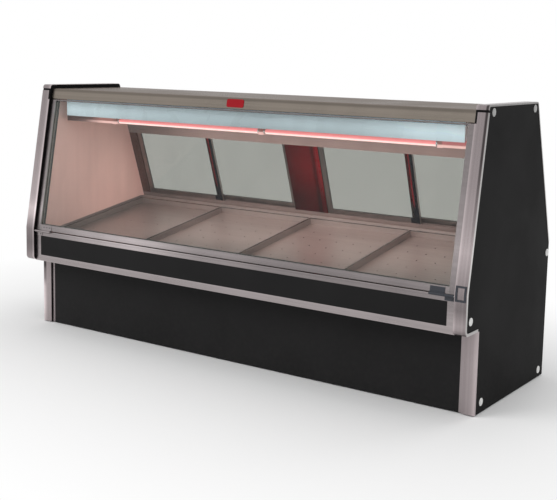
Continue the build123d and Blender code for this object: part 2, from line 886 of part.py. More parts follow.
def guard_path(low, high):
    """Outer face of a hinge guard over the bend of the end trim, from below the bend to above it."""
    rise = (high * math.sin(front_lean), high * math.cos(front_lean))
    face = [(front_y, nose_top - low), (front_y, nose_top), (front_y + rise[0], nose_top + rise[1])]
    return inset(face, -guard_thickness)


with BuildPart() as hinge_brackets:
    rod((fixed_x[0], hinge_y, hinge_z), (fixed_x[1], hinge_y, hinge_z), knuckle_radius)
    leaf_z = (fascia_high - fixed_leaf_height, fascia_high)
    block(fixed_x, (nose_y - leaf_thickness, nose_y), leaf_z)
    block(fixed_x, (hinge_y, nose_y), (hinge_z - knuckle_radius, fascia_high))
    hinge_bore(fixed_x)
    mirror(about=Plane.YZ)
    guard_x = (inner_x + (end_thickness - guard_width) / 2, half_length - (end_thickness - guard_width) / 2)
    window_x = (guard_x[0] + guard_border, guard_x[1] - guard_border)
    strip(guard_path(guard_low, guard_high), [guard_bend], guard_thickness, guard_x)
    window = guard_path(guard_low - guard_border, guard_high - guard_border)
    strip(window, [guard_bend], guard_thickness, window_x, mode=Mode.SUBTRACT)
save(hinge_brackets, "hinge_brackets")

with BuildPart() as hinge_leaves:
    rod((moving_x[0], hinge_y, hinge_z), (moving_x[1], hinge_y, hinge_z), knuckle_radius)
    axis_place = frame_plane.to_local_coords(Vector(0, hinge_y, hinge_z))
    block(moving_x, (glass_up[0], glass_up[0] + moving_leaf_height), (0, leaf_thickness), frame_plane)
    web_up = (axis_place.Y, glass_up[0] + leaf_thickness)
    web_out = (axis_place.Z - knuckle_radius + hinge_rise, axis_place.Z)
    block(moving_x, web_up, web_out, frame_plane)
    hinge_bore(moving_x)
    mirror(about=Plane.YZ)
save(hinge_leaves, "hinge_leaves")

with BuildPart() as hinge_pins:
    pin_end = fixed_x[1] + pin_head
    rod((moving_x[0], hinge_y, hinge_z), (fixed_x[1], hinge_y, hinge_z), pin_radius)
    rod((fixed_x[1], hinge_y, hinge_z), (pin_end, hinge_y, hinge_z), pin_head_radius)
    mirror(about=Plane.YZ)
save(hinge_pins, "hinge_pins")

# Inner end walls: stainless pans that close the ends of the display, and the foam in both ends
wall_front = face_recess + gasket_back + gasket_gap
wall_rear = walls[5] + gasket_gap
seat = sheet
wall_outline = [
    (on_front(front_rim + seat, wall_front), front_rim + seat),
    (rim[1][0], front_rim + seat),
    (rim[2][0], rear_rim + seat),
    (on_rear(rear_rim + seat, wall_rear), rear_rim + seat),
    (on_rear(under_canopy, wall_rear), under_canopy),
    (on_front(under_canopy, wall_front), under_canopy),
]
with BuildPart() as inner_end_walls:
    prism(wall_outline, (wall_x, inner_x))
    prism(wall_outline, (wall_x + sheet, inner_x), margin=sheet, mode=Mode.SUBTRACT)
    mirror(about=Plane.YZ)
save(inner_end_walls, "inner_end_walls")

with BuildPart() as foam_insulation:
    prism(wall_outline, (wall_x + sheet, inner_x), margin=sheet)
    add(end_core(core_x, margin=sheet))
    mirror(about=Plane.YZ)
    prism(below_rim(tub_front + sheet, tub_rear - sheet, nose_bottom + sheet), (-inner_x, inner_x))
    block((-wall_x, wall_x), (liner_front, liner_rear), (liner_floor, rear_rim), mode=Mode.SUBTRACT)
    floor_holes()
save(foam_insulation, "foam_insulation")

# Lamp row: housing under the canopy, two tubes end to end, sockets, a cover over the unlit end, and ballast
housing_y = front_y + housing_setback
housing_rear = housing_y + housing_depth
housing_x = wall_x - housing_end_gap
housing_bottom = top_z - housing_drop
housing_path = [
    (housing_y, housing_bottom),
    (housing_y, under_canopy),
    (housing_rear, under_canopy),
    (housing_rear, under_canopy - housing_back_height),
]
with BuildPart() as light_housing:
    strip(housing_path, [housing_bend, housing_bend], sheet, (-housing_x, housing_x))
    end_plate = inset(housing_path, sheet)
    prism(end_plate, (housing_x - sheet, housing_x))
    prism(end_plate, (-housing_x, -housing_x + sheet))
save(light_housing, "light_housing")

tube_y = housing_y + sheet + tube_standoff + tube_radius
tube_z = housing_bottom - tube_radius
lamp_ends = (lamp_left_gap - housing_x, housing_x - lamp_right_gap)
socket_places = [lamp_ends[0], (lamp_ends[0] + lamp_ends[1]) / 2, lamp_ends[1]]
with BuildPart() as lamp_sockets:
    for x in socket_places:
        socket_y = (housing_y + sheet, tube_y + tube_radius)
        socket_z = (tube_z - socket_drop, housing_bottom + socket_grip)
        block((x - socket_width / 2, x + socket_width / 2), socket_y, socket_z)
    left_cover = (-housing_x + sheet, socket_places[0] - socket_width / 2)
    right_cover = (socket_places[-1] + socket_width / 2, housing_x - sheet)
    for cover_x in (left_cover, right_cover):
        block(cover_x, socket_y, (housing_bottom - end_cover_drop, housing_bottom + socket_grip))
save(lamp_sockets, "lamp_sockets")

with BuildPart() as lamp_tubes:
    for start, end in zip(socket_places, socket_places[1:]):
        tube_start = start + socket_width / 2
        tube_end = end - socket_width / 2
        cap_start = tube_start + tube_cap_length
        cap_end = tube_end - tube_cap_length
        rod((tube_start, tube_y, tube_z), (cap_start, tube_y, tube_z), tube_radius)
        rod((cap_start, tube_y, tube_z), (cap_end, tube_y, tube_z), tube_radius - tube_cap_wall)
        rod((cap_end, tube_y, tube_z), (tube_end, tube_y, tube_z), tube_radius)
save(lamp_tubes, "lamp_tubes")

with BuildPart() as lamp_ballast:
    ballast_x = -housing_x + sheet + ballast_end_gap
    ballast_y = housing_y + (housing_depth - ballast_width) / 2
    ballast_top = under_canopy - sheet
    ballast_z = (ballast_top - ballast_height, ballast_top)
    block((ballast_x, ballast_x + ballast_length), (ballast_y, ballast_y + ballast_width), ballast_z)
    fillet(lamp_ballast.edges().filter_by(Axis.X).group_by(Axis.Z)[0], housing_bend)
save(lamp_ballast, "lamp_ballast")

# Sloping deck: supports on the liner, and four lift-out pans, each a pierced floor with welded walls
deck_lean = math.atan(rim_slope)
deck_cos = math.cos(deck_lean)
deck_sin = math.sin(deck_lean)


def deck_height(y):
    """Height of the supports' seats, on a plane parallel to the sloping rim."""
    return front_rim - deck_drop + rim_slope * (y - rim[1][0])


def ledge(wall, way):
    """Outline of an angle on a liner wall, its upper leg along the deck's slope."""
    edge = wall + way * support_width
    inside = wall + way * sheet
    drop = sheet / deck_cos
    low = deck_height(wall) - support_drop
    return [
        (wall, low),
        (wall, deck_height(wall)),
        (edge, deck_height(edge)),
        (edge, deck_height(edge) - drop),
        (inside, deck_height(inside) - drop),
        (inside, low),
    ]


support_x = (well_x[0] + pan_clearance, well_x[1] - pan_clearance)
with BuildPart() as deck_supports:
    prism(ledge(well_front, 1), support_x)
    prism(ledge(well_rear, -1), support_x)
    middle_top = [(y, deck_height(y)) for y in middle_y]
    middle_low = [(y, deck_height(y) - support_drop) for y in reversed(middle_y)]
    prism(middle_top + middle_low, support_x)
    hollow_y = (middle_y[0] + sheet, middle_y[1] - sheet)
    hollow_top = [(y, deck_height(y) - sheet / deck_cos) for y in hollow_y]
    hollow_low = [(y, deck_height(y) - 2 * support_drop) for y in reversed(hollow_y)]
    prism(hollow_top + hollow_low, support_x, mode=Mode.SUBTRACT)
    leg_step = (support_x[1] - support_x[0] - middle_leg_length) / (middle_leg_count - 1)
    leg_low = [(y, well_floor) for y in reversed((middle_y[0], middle_y[0] + sheet))]
    leg_high = [(y, deck_height(y) - support_drop) for y in (middle_y[0], middle_y[0] + sheet)]
    for count in range(middle_leg_count):
        leg_start = support_x[0] + count * leg_step
        prism(leg_high + leg_low, (leg_start, leg_start + middle_leg_length))
save(deck_supports, "deck_supports")

pan_front = well_front + pan_clearance + pan_rim * deck_sin
pan_rear = well_rear - pan_clearance
pan_run = (pan_rear - pan_front) / deck_cos
pan_pitch = (well_x[1] - well_x[0]) / pan_count
pan_plane = Plane(
    origin=(0, pan_front, deck_height(pan_front)),
    x_dir=(1, 0, 0),
    z_dir=(0, -deck_sin, deck_cos),
).offset(pan_seat_gap)
for number in range(1, pan_count + 1):
    pan_start = well_x[0] + (number - 1) * pan_pitch + pan_gap / 2
    pan_x = (pan_start, pan_start + pan_pitch - pan_gap)
    with BuildPart() as deck_pan:
        block(pan_x, (0, pan_run), (0, sheet), pan_plane)
        wall_up = (sheet + joint_gap, pan_rim)
        side_run = (sheet + joint_gap, pan_run - sheet - joint_gap)
        block(pan_x, (0, sheet), wall_up, pan_plane)
        block(pan_x, (pan_run - sheet, pan_run), wall_up, pan_plane)
        block((pan_x[0], pan_x[0] + sheet), side_run, wall_up, pan_plane)
        block((pan_x[1] - sheet, pan_x[1]), side_run, wall_up, pan_plane)
        with BuildSketch(pan_plane):
            with Locations(((pan_x[0] + pan_x[1]) / 2, pan_run / 2)):
                with GridLocations(pan_hole_pitch, pan_hole_pitch, pan_hole_columns, pan_hole_rows):
                    Circle(pan_hole_radius)
        extrude(amount=sheet, mode=Mode.SUBTRACT)
    save(deck_pan, f"deck_pan_{number}")

# Evaporator coil on the tub's floor: a serpentine tube through fins between two end plates
coil_end = wall_x - coil_turn_gap
coil_x = (coil_pitch - coil_end, coil_end - coil_pitch)
coil_z = well_floor + coil_clearance + coil_fin_height / 2


def serpentine(first, second, rows):
    """Corner points of a tube that runs to and fro between two ends along rows."""
    points = []
    for count, row in enumerate(rows):
        ends = [first, second] if count % 2 == 0 else [second, first]
        points.extend((end, row) for end in ends)
    return points


with BuildPart() as evaporator_coil:
    turns = serpentine(coil_end, -coil_end, coil_rows)
    pipe([(x, y, coil_z) for x, y in turns], turn_share * coil_pitch, coil_tube_radius)
    plate_z = (well_floor, coil_z + coil_fin_height / 2)
    block((coil_x[0] - fin_thickness, coil_x[0]), coil_y, plate_z)
    block((coil_x[1], coil_x[1] + fin_thickness), coil_y, plate_z)
    fin_step = (coil_x[1] - coil_x[0]) / (coil_fin_count + 1)
    fin_z = (coil_z - coil_fin_height / 2, coil_z + coil_fin_height / 2)
    for count in range(1, coil_fin_count + 1):
        fin_x = coil_x[0] + count * fin_step
        block((fin_x - fin_thickness / 2, fin_x + fin_thickness / 2), coil_y, fin_z)
save(evaporator_coil, "evaporator_coil")

# Drain: a flanged tail pipe through the tub's floor, and a strainer over it
with BuildPart() as drain_pipe:
    drain_end = nose_bottom - drain_tail
    collar = (drain_x, drain_y, nose_bottom - drain_collar)
    rod((drain_x, drain_y, drain_end), collar, drain_radius - drain_step)
    rod(collar, (drain_x, drain_y, well_floor), drain_radius)
    flange_top = (drain_x, drain_y, well_floor + drain_flange)
    rod((drain_x, drain_y, well_floor), flange_top, drain_flange_radius)
    bore = drain_radius - drain_wall
    rod((drain_x, drain_y, drain_end), flange_top, bore, mode=Mode.SUBTRACT)
save(drain_pipe, "drain_pipe")

with BuildPart() as drain_strainer:
    strainer_z = well_floor + drain_flange
    cup_top = strainer_z + strainer_height
    rod((drain_x, drain_y, strainer_z), (drain_x, drain_y, cup_top), strainer_radius)
    cup_inside = (drain_x, drain_y, cup_top - sheet)
    rod((drain_x, drain_y, strainer_z), cup_inside, strainer_radius - sheet, mode=Mode.SUBTRACT)
    with BuildSketch(Plane.XY.offset(cup_top - sheet)):
        with Locations((drain_x, drain_y)):
            with PolarLocations(strainer_hole_circle, strainer_hole_count):
                Circle(strainer_hole_radius)
    extrude(amount=sheet, mode=Mode.SUBTRACT)
save(drain_strainer, "drain_strainer")

# Condensing unit: tray on the lower rails, compressor, condenser, fan and motor
tray_x = (unit_x - tray_length / 2, unit_x + tray_length / 2)
tray_y = (leg_front + leg_size + tray_margin, leg_rear - leg_size - tray_margin)
tray_z = lower_rail_z[1]
unit_floor = tray_z + sheet
with BuildPart() as unit_tray:
    block(tray_x, tray_y, (tray_z, tray_z + tray_edge))
    inside_x = (tray_x[0] + sheet, tray_x[1] - sheet)
    inside_y = (tray_y[0] + sheet, tray_y[1] - sheet)
    block(inside_x, inside_y, (unit_floor, tray_z + tray_edge), mode=Mode.SUBTRACT)
save(unit_tray, "unit_tray")

compressor_x = unit_x - compressor_offset
compressor_y = front_y + compressor_setback
compressor_base = unit_floor + compressor_foot
compressor_top = compressor_base + compressor_height
with BuildPart() as compressor:
    can_foot = (compressor_x, compressor_y, compressor_base)
    can_top = (compressor_x, compressor_y, compressor_top)
    rod(can_foot, can_top, compressor_radius)
    fillet(compressor.edges().filter_by(GeomType.CIRCLE), compressor_dome)
    half = compressor_foot_width / 2
    foot_x = (compressor_x - half, compressor_x + half)
    foot_y = (compressor_y - half, compressor_y + half)
    block(foot_x, foot_y, (unit_floor, compressor_base))
    fillet(compressor.edges().filter_by(Axis.Z).group_by(SortBy.LENGTH)[0], compressor_dome)
save(compressor, "compressor")

condenser_x = (unit_x - condenser_width / 2, unit_x + condenser_width / 2)
condenser_rear = tray_y[1] - sheet - condenser_rear_gap
condenser_y = (condenser_rear - condenser_depth, condenser_rear)
condenser_z = (unit_floor, unit_floor + condenser_height)
row_pitch = condenser_height / condenser_passes
condenser_rows = [condenser_z[0] + (count + 0.5) * row_pitch for count in range(condenser_passes)]
condenser_middle = (condenser_y[0] + condenser_y[1]) / 2
condenser_end = condenser_x[1] + row_pitch
with BuildPart() as condenser_coil:
    turns = serpentine(condenser_end, condenser_x[0] - row_pitch, condenser_rows)
    pipe([(x, condenser_middle, z) for x, z in turns], turn_share * row_pitch, condenser_tube_radius)
    fin_step = (condenser_width - fin_thickness) / (condenser_fin_count - 1)
    for count in range(condenser_fin_count):
        fin_x = condenser_x[0] + count * fin_step
        block((fin_x, fin_x + fin_thickness), condenser_y, condenser_z)
save(condenser_coil, "condenser_coil")

fan_z = unit_floor + condenser_height / 2
shroud_y = (condenser_y[0] - shroud_depth, condenser_y[0])
ring_y = shroud_y[0] - shroud_ring
with BuildPart() as fan_shroud:
    block(condenser_x, shroud_y, condenser_z)
    inside_x = (condenser_x[0] + sheet, condenser_x[1] - sheet)
    inside_z = (condenser_z[0] + sheet, condenser_z[1] - sheet)
    block(inside_x, (shroud_y[0] + sheet, shroud_y[1]), inside_z, mode=Mode.SUBTRACT)
    ring_outer = shroud_hole_radius + sheet
    rod((unit_x, ring_y, fan_z), (unit_x, shroud_y[0], fan_z), ring_outer)
    rod((unit_x, ring_y, fan_z), (unit_x, shroud_y[1], fan_z), shroud_hole_radius, mode=Mode.SUBTRACT)
save(fan_shroud, "fan_shroud")

fan_y = ring_y + (shroud_ring + sheet) / 2
hub_y = (fan_y - fan_hub_length / 2, fan_y + fan_hub_length / 2)
fan_plane = Plane(origin=(unit_x, fan_y, fan_z), x_dir=(1, 0, 0), z_dir=(0, 1, 0))
with BuildPart() as fan_blade:
    rod((unit_x, hub_y[0], fan_z), (unit_x, hub_y[1], fan_z), fan_hub_radius)
    blade_reach = fan_radius - fan_hub_radius / 2
    blade_middle = fan_radius - blade_reach / 2
    with Locations(fan_plane):
        with PolarLocations(blade_middle, fan_blades):
            Box(blade_reach, blade_chord, blade_thickness, rotation=(blade_pitch, 0, 0))
    shaft_hole = shaft_radius + shaft_clearance
    rod((unit_x, hub_y[0], fan_z), (unit_x, hub_y[1], fan_z), shaft_hole, mode=Mode.SUBTRACT)
save(fan_blade, "fan_blade")

motor_front = hub_y[0] - motor_gap
motor_back = motor_front - motor_length
with BuildPart() as fan_motor:
    rod((unit_x, motor_back, fan_z), (unit_x, motor_front, fan_z), motor_radius)
    fillet(fan_motor.edges().filter_by(GeomType.CIRCLE), motor_gap)
    rod((unit_x, motor_front, fan_z), (unit_x, hub_y[1], fan_z), shaft_radius)
    foot_x = (unit_x - motor_foot_width / 2, unit_x + motor_foot_width / 2)
    post_y = (motor_back + motor_gap, motor_front - motor_gap)
    block(foot_x, post_y, (unit_floor, unit_floor + compressor_foot))
    post_x = (unit_x - motor_foot_width / 4, unit_x + motor_foot_width / 4)
    block(post_x, post_y, (unit_floor, fan_z))
save(fan_motor, "fan_motor")

# Refrigerant lines between the compressor, the condenser and the evaporator
line_run_height = nose_bottom - line_run_drop
discharge_x = unit_x + discharge_offset
discharge_height = compressor_base + compressor_height / 2
with BuildPart() as refrigerant_lines:
    suction_route = [
        (compressor_x, compressor_y, compressor_top),
        (compressor_x, compressor_y, line_run_height),
        (suction_x, compressor_y, line_run_height),
        (suction_x, suction_y, line_run_height),
        (suction_x, suction_y, coil_z),
        (coil_end, suction_y, coil_z),
    ]
    pipe(suction_route, line_bend, suction_radius)
    liquid_route = [
        (condenser_end, condenser_middle, condenser_rows[-1]),
        (liquid_x, condenser_middle, condenser_rows[-1]),
        (liquid_x, liquid_y, condenser_rows[-1]),
        (liquid_x, liquid_y, coil_z),
        (coil_end, liquid_y, coil_z),
    ]
    pipe(liquid_route, line_bend, liquid_radius)
    discharge_route = [
        (compressor_x + compressor_radius, compressor_y, discharge_height),
        (discharge_x, compressor_y, discharge_height),
        (discharge_x, condenser_middle, discharge_height),
        (discharge_x, condenser_middle, condenser_rows[0]),
        (condenser_end, condenser_middle, condenser_rows[0]),
    ]
    pipe(discharge_route, line_bend, liquid_radius)
save(refrigerant_lines, "refrigerant_lines")

# Control box behind the rear panel, its face plate, thermostat stem and switch well
plate_y = (tub_rear, tub_rear + sheet)
knob_x = control_x - knob_offset
rocker_x = control_x + rocker_offset
knob_base = plate_y[1] + knob_gap
pivot_y = plate_y[1] - rocker_inward
with BuildPart() as control_box:
    box_y = (panel_front - control_depth, plate_y[1])
    block(control_x_range, box_y, control_z)
    plate_x = (control_x_range[0] - control_border, control_x_range[1] + control_border)
    plate_z = (control_z[0] - control_border, control_z[1] + control_border)
    block(plate_x, plate_y, plate_z)
    inside_x = (control_x_range[0] + sheet, control_x_range[1] - sheet)
    inside_z = (control_z[0] + sheet, control_z[1] - sheet)
    block(inside_x, (box_y[0], plate_y[0]), inside_z, mode=Mode.SUBTRACT)
    well = rocker_radius + rocker_clearance
    well_half = rocker_width / 2 + rocker_clearance
    switch_x = (rocker_x - well_half - sheet, rocker_x + well_half + sheet)
    switch_z = (control_height - well - sheet, control_height + well + sheet)
    switch_back = pivot_y - well - sheet
    block(switch_x, (switch_back, plate_y[0]), switch_z)
    hole_x = (rocker_x - well_half, rocker_x + well_half)
    hole_z = (control_height - well, control_height + well)
    block(hole_x, (pivot_y - well, plate_y[1]), hole_z, mode=Mode.SUBTRACT)
    stem_end = plate_y[1] + knob_stem_length
    stem_start = plate_y[0] - control_depth / 2
    rod((knob_x, stem_start, control_height), (knob_x, plate_y[0], control_height), knob_radius / 2)
    rod((knob_x, plate_y[0], control_height), (knob_x, stem_end, control_height), knob_stem_radius)
save(control_box, "control_box")

with BuildPart() as thermostat_knob:
    skirt_end = knob_base + knob_skirt
    knob_end = knob_base + knob_height
    rod((knob_x, knob_base, control_height), (knob_x, skirt_end, control_height), knob_radius)
    grip = knob_radius - knob_skirt
    grip_x = (knob_x - knob_stem_radius - knob_skirt, knob_x + knob_stem_radius + knob_skirt)
    rod((knob_x, skirt_end, control_height), (knob_x, knob_end, control_height), grip * knob_core)
    block(grip_x, (skirt_end, knob_end), (control_height - grip, control_height + grip))
    stem_hole = knob_stem_radius + pin_clearance
    hole_end = (knob_x, stem_end + knob_gap, control_height)
    rod((knob_x, knob_base, control_height), hole_end, stem_hole, mode=Mode.SUBTRACT)
save(thermostat_knob, "thermostat_knob")

tilt = math.radians(rocker_tilt)
rocker_plane = Plane(
    origin=(rocker_x - rocker_width / 2, pivot_y, control_height),
    x_dir=(0, math.cos(tilt), math.sin(tilt)),
    z_dir=(1, 0, 0),
)
with BuildPart() as switch_rocker:
    with BuildSketch(rocker_plane):
        with BuildLine():
            round_back = CenterArc((0, 0), rocker_radius, rocker_opening / 2, 360 - rocker_opening)
            Polyline(round_back @ 1, (rocker_inward, 0), round_back @ 0)
        make_face()
    extrude(amount=rocker_width)
save(switch_rocker, "switch_rocker")

# Cord gland through the rear panel
with BuildPart() as cord_gland:
    gland_end = tub_rear + gland_outside
    rod((gland_x, tub_rear, gland_height), (gland_x, gland_end, gland_height), gland_radius)
    neck_start = panel_front - gland_nut
    rod((gland_x, neck_start, gland_height), (gland_x, tub_rear, gland_height), gland_neck)
    with BuildSketch(Plane(origin=(gland_x, neck_start, gland_height), z_dir=(0, 1, 0))):
        RegularPolygon(gland_radius + sheet, 6)
    extrude(amount=gland_nut)
    bore_start = (gland_x, neck_start, gland_height)
    rod(bore_start, (gland_x, gland_end, gland_height), gland_bore, mode=Mode.SUBTRACT)
save(cord_gland, "cord_gland")
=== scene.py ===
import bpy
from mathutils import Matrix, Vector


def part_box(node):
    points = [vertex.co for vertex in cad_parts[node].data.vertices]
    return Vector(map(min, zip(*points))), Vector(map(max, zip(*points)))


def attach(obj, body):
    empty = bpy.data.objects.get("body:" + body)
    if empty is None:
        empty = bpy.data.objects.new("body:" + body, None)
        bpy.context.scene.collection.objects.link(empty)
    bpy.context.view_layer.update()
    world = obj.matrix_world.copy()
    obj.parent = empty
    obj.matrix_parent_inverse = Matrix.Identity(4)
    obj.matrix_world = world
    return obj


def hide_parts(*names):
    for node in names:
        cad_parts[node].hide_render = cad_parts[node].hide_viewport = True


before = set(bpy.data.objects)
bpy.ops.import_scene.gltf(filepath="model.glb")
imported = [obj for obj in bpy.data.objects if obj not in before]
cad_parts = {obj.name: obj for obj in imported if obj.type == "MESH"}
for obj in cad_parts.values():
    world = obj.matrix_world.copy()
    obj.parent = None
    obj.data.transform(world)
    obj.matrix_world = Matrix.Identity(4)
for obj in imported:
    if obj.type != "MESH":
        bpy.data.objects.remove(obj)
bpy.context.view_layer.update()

import math

import bmesh
import bpy
import numpy as np
from mathutils import Matrix, Vector

bl_info = {
    "name": "Glass-Fronted Display Case",
    "version": (1, 0, 0),
    "blender": (4, 5, 0),
    "location": "View3D > Sidebar > Display Case",
    "description": "Finishes, small fittings and studio stage of a refrigerated display case",
    "category": "Object",
}

# Slopes of the case, as angles from the upright for the front and rear and from the level for the deck
FRONT_LEAN = math.atan2(0.130, 0.739)
REAR_LEAN = math.atan2(0.218, 0.636)
DECK_LEAN = math.atan2(0.111, 0.682)
FRONT_UP = (0.0, math.sin(FRONT_LEAN), math.cos(FRONT_LEAN))
FRONT_OUT = (0.0, -math.cos(FRONT_LEAN), math.sin(FRONT_LEAN))
REAR_UP = (0.0, -math.sin(REAR_LEAN), math.cos(REAR_LEAN))
REAR_OUT = (0.0, math.cos(REAR_LEAN), math.sin(REAR_LEAN))

# Axes of turned shapes: across, along and out of the face that they stand on
TO_RIGHT = ((0, 1, 0), (0, 0, 1), (1, 0, 0))
TO_LEFT = ((0, 1, 0), (0, 0, 1), (-1, 0, 0))
TO_REAR = ((-1, 0, 0), (0, 0, 1), (0, 1, 0))
TO_FRONT = ((1, 0, 0), (0, 0, 1), (0, -1, 0))
OFF_REAR_SLOPE = ((-1, 0, 0), REAR_UP, REAR_OUT)
OFF_GLASS_FRAME = ((1, 0, 0), FRONT_UP, FRONT_OUT)

# Sizes of the case, in metres
PAN_RIM = 0.035
PAN_CORNER = 0.006
FRAME_DEPTH = 0.024
GASKET_INSET = 0.004
GASKET_WIDTHS = (0.035, 0.029, 0.001)
GASKET_CORNER = 0.0005
REAR_RECESS = 0.014
REAR_KNEE = (0.4335, 0.629)
MIDDLE_SOCKET = (0.102, 0.122)
STILE_EDGE = 1.164
STILE_EDGE_ROOM = 0.0006
TRIM_LEG = 1.2505
DOORS_MEET = 0.6025
BETWEEN_TRACKS = 0.85
DIAL_FACE = 0.421
DIAL_RADIUS = 0.027
CASE_FOOT = (1.25, 0.43, 0.0)
FLOOR_FADE = 1.5

# Where finishes and painted light and shade change, in metres: outwards from the case's middle, along it, or up from
# the floor
RIGHT_TRIM_EDGE = (1.199, 1.206)
LEFT_TRIM_EDGE = (1.202, 1.211)
TRIM_BEND_STARTS = (1.236, 1.241)
TRIM_BEND_ENDS = (1.248, 1.25)
TRIM_BEND_FADES = (0.72, 1.05)
BASE_LEFT_EDGE = (-1.236, -1.228)
RIGHT_COVER_STARTS = (1.0275, 1.0285)
UPPER_STRIP_STARTS = (0.45, 0.47)
LOWER_RAIL_ENDS = 0.7
DOOR_SHEEN_FADES = (0.72, 0.8)
DUST_FADES = (0.0, 0.4)

# The same from the middle of a doors' overlap, and down from the middle of the lamps
OVERLAP_SHEEN_ENDS = (-0.002, 0.008)
OVERLAP_EDGE_STARTS = (0.0225, 0.0235)
OVERLAP_ENDS = (0.0255, 0.0265)
HOLDER_LIT_DROP = 0.002
LAMP_COAT_DROP = 0.004
LAMP_COAT_FADE = 0.003

# The doors and the deck pans are numbered
NUMBERS = range(1, 5)

# Y and Z of the bolt caps on each end
CAP_PLACES = np.array([
    (-0.2485, 0.049),
    (0.3815, 0.037),
    (0.4145, 0.578),
    (-0.3835, 0.412),
    (-0.2525, 1.235),
    (0.1815, 1.237),
])

# Brushed lines per metre along each axis
LINES_ALONG_X = (5.0, 900.0, 900.0)
LINES_ACROSS_X = (900.0, 5.0, 5.0)
LINES_UPRIGHT = (900.0, 900.0, 5.0)
POST_LINES = [count / 3 for count in LINES_ACROSS_X]
WALL_LINES = (5.0, 300.0, 5.0)
COARSER = 9
LINE_DEPTH = 0.00003

# Painted reflections by height in metres on upright steel: dark at the nose's bend, bright above it, duller to the top
STEEL_SHADES = (
    (0.36, 0.8), (0.40, 1.0), (0.46, 0.56), (0.56, 0.82), (0.69, 1.32), (0.80, 1.04), (0.95, 0.88), (1.25, 0.74))
LEFT_SHADES = (
    (0.37, 0.87), (0.41, 0.57), (0.45, 0.48), (0.52, 0.63), (0.56, 1.05), (0.595, 1.54), (0.63, 1.74),
    (0.667, 1.38), (0.70, 1.21), (0.80, 1.04), (0.95, 0.88), (1.25, 0.74))
# Painted light and shade by height on the trims' legs, rails, nose, base trims, bolt caps, light housing and mullion
LEG_SHADES = ((0.38, 0.75), (0.56, 0.95), (0.68, 1.1), (0.84, 0.78), (1.16, 0.62), (1.24, 0.4))
RAIL_SHADES = ((0.52, 0.86), (0.535, 1.0), (1.0, 1.0), (1.18, 0.7))
NOSE_SHADES = (
    (0.357, 1.3), (0.361, 1.14), (0.382, 1.14), (0.386, 1.3), (0.45, 1.0), (0.488, 0.96), (0.507, 0.9), (0.511, 1.2))
BASE_SHADES = ((0.06, 1.1), (0.22, 1.0), (0.34, 0.76))
BASE_LEFT_SHADES = (
    (0.04, 1.35), (0.1, 1.5), (0.19, 1.25), (0.21, 0.95), (0.235, 0.55), (0.285, 0.35), (0.305, 0.12))
CAP_SHADES = ((0.3, 1.45), (0.6, 1.2), (1.1, 0.62))
HOUSING_SHADES = ((1.11, 0.88), (1.17, 1.5))
POST_SHADES = ((0.72, 0.35), (0.9, 1.0))

# The same painted light and shade along the case, or outwards from its middle for the base, and the covers' painted
# glow
BASE_ACROSS = ((1.196, 0.9), (1.222, 0.98), (1.236, 1.12), (1.247, 1.45))
FRONT_GLINT = (
    (-1.05, 1.0), (-0.85, 1.4), (-0.5, 1.78), (-0.38, 1.7), (-0.25, 1.35), (-0.1, 1.05), (0.05, 1.03), (0.25, 0.84),
    (0.95, 0.84), (1.15, 0.95))
HOUSING_ACROSS = ((-1.13, 1.25), (-0.7, 1.0), (0.1, 0.8), (0.6, 1.0), (1.13, 1.5))
POST_ACROSS = ((-0.1, 0.45), (-0.07, 0.65), (0.02, 1.1), (0.05, 0.9), (0.058, 0.5), (0.07, 0.6), (0.078, 1.6))
COVER_GLOW = ((-1.06, 0.02), (-1.0, 0.15), (-0.95, 0.55), (-0.87, 1.15))
COVER_LIT = ((-1.02, 0.3), (-0.95, 1.5), (-0.9, 6.0), (-0.81, 6.5), (-0.8, 4.5))

WHITE = (1.0, 1.0, 1.0)
PINK = (1.0, 0.66, 0.6)
CANOPY_GLINT = (0.42, 0.385, 0.36)
DUST = (0.06, 0.056, 0.052)
LAMP_WHITE = (0.8, 0.8, 0.8)
FOAM_SHADES = (0.62, 0.52, 0.3), (0.75, 0.66, 0.42)
BALLAST_BLACK = (0.03, 0.03, 0.03)
MACHINE_BLACK = (0.02, 0.02, 0.02)
CONTROL_GREY = (0.28, 0.29, 0.3)
DRAIN_WHITE = (0.7, 0.7, 0.67)
KNOB_BLACK = (0.018, 0.018, 0.018)
MARK_WHITE = (0.75, 0.75, 0.72)


def tint(name, description, default):
    """A colour that a user would change."""
    return bpy.props.FloatVectorProperty(
        name=name, description=description, default=default, size=3, min=0.0, max=1.0, subtype="COLOR"
    )


def amount(name, description, default, **settings):
    """A number that a user would change."""
    return bpy.props.FloatProperty(name=name, description=description, default=default, **settings)


def length(name, description, default):
    """A size that a user would change, in metres."""
    return amount(name, description, default, min=0.0, unit="LENGTH", subtype="DISTANCE")


def watts(name, description, default):
    """A lamp's power that a user would change."""
    return amount(name, description, default, min=0.0, unit="POWER")


def turn(name, description, degrees):
    """An angle that a user would change."""
    return amount(name, description, math.radians(degrees), unit="ROTATION")


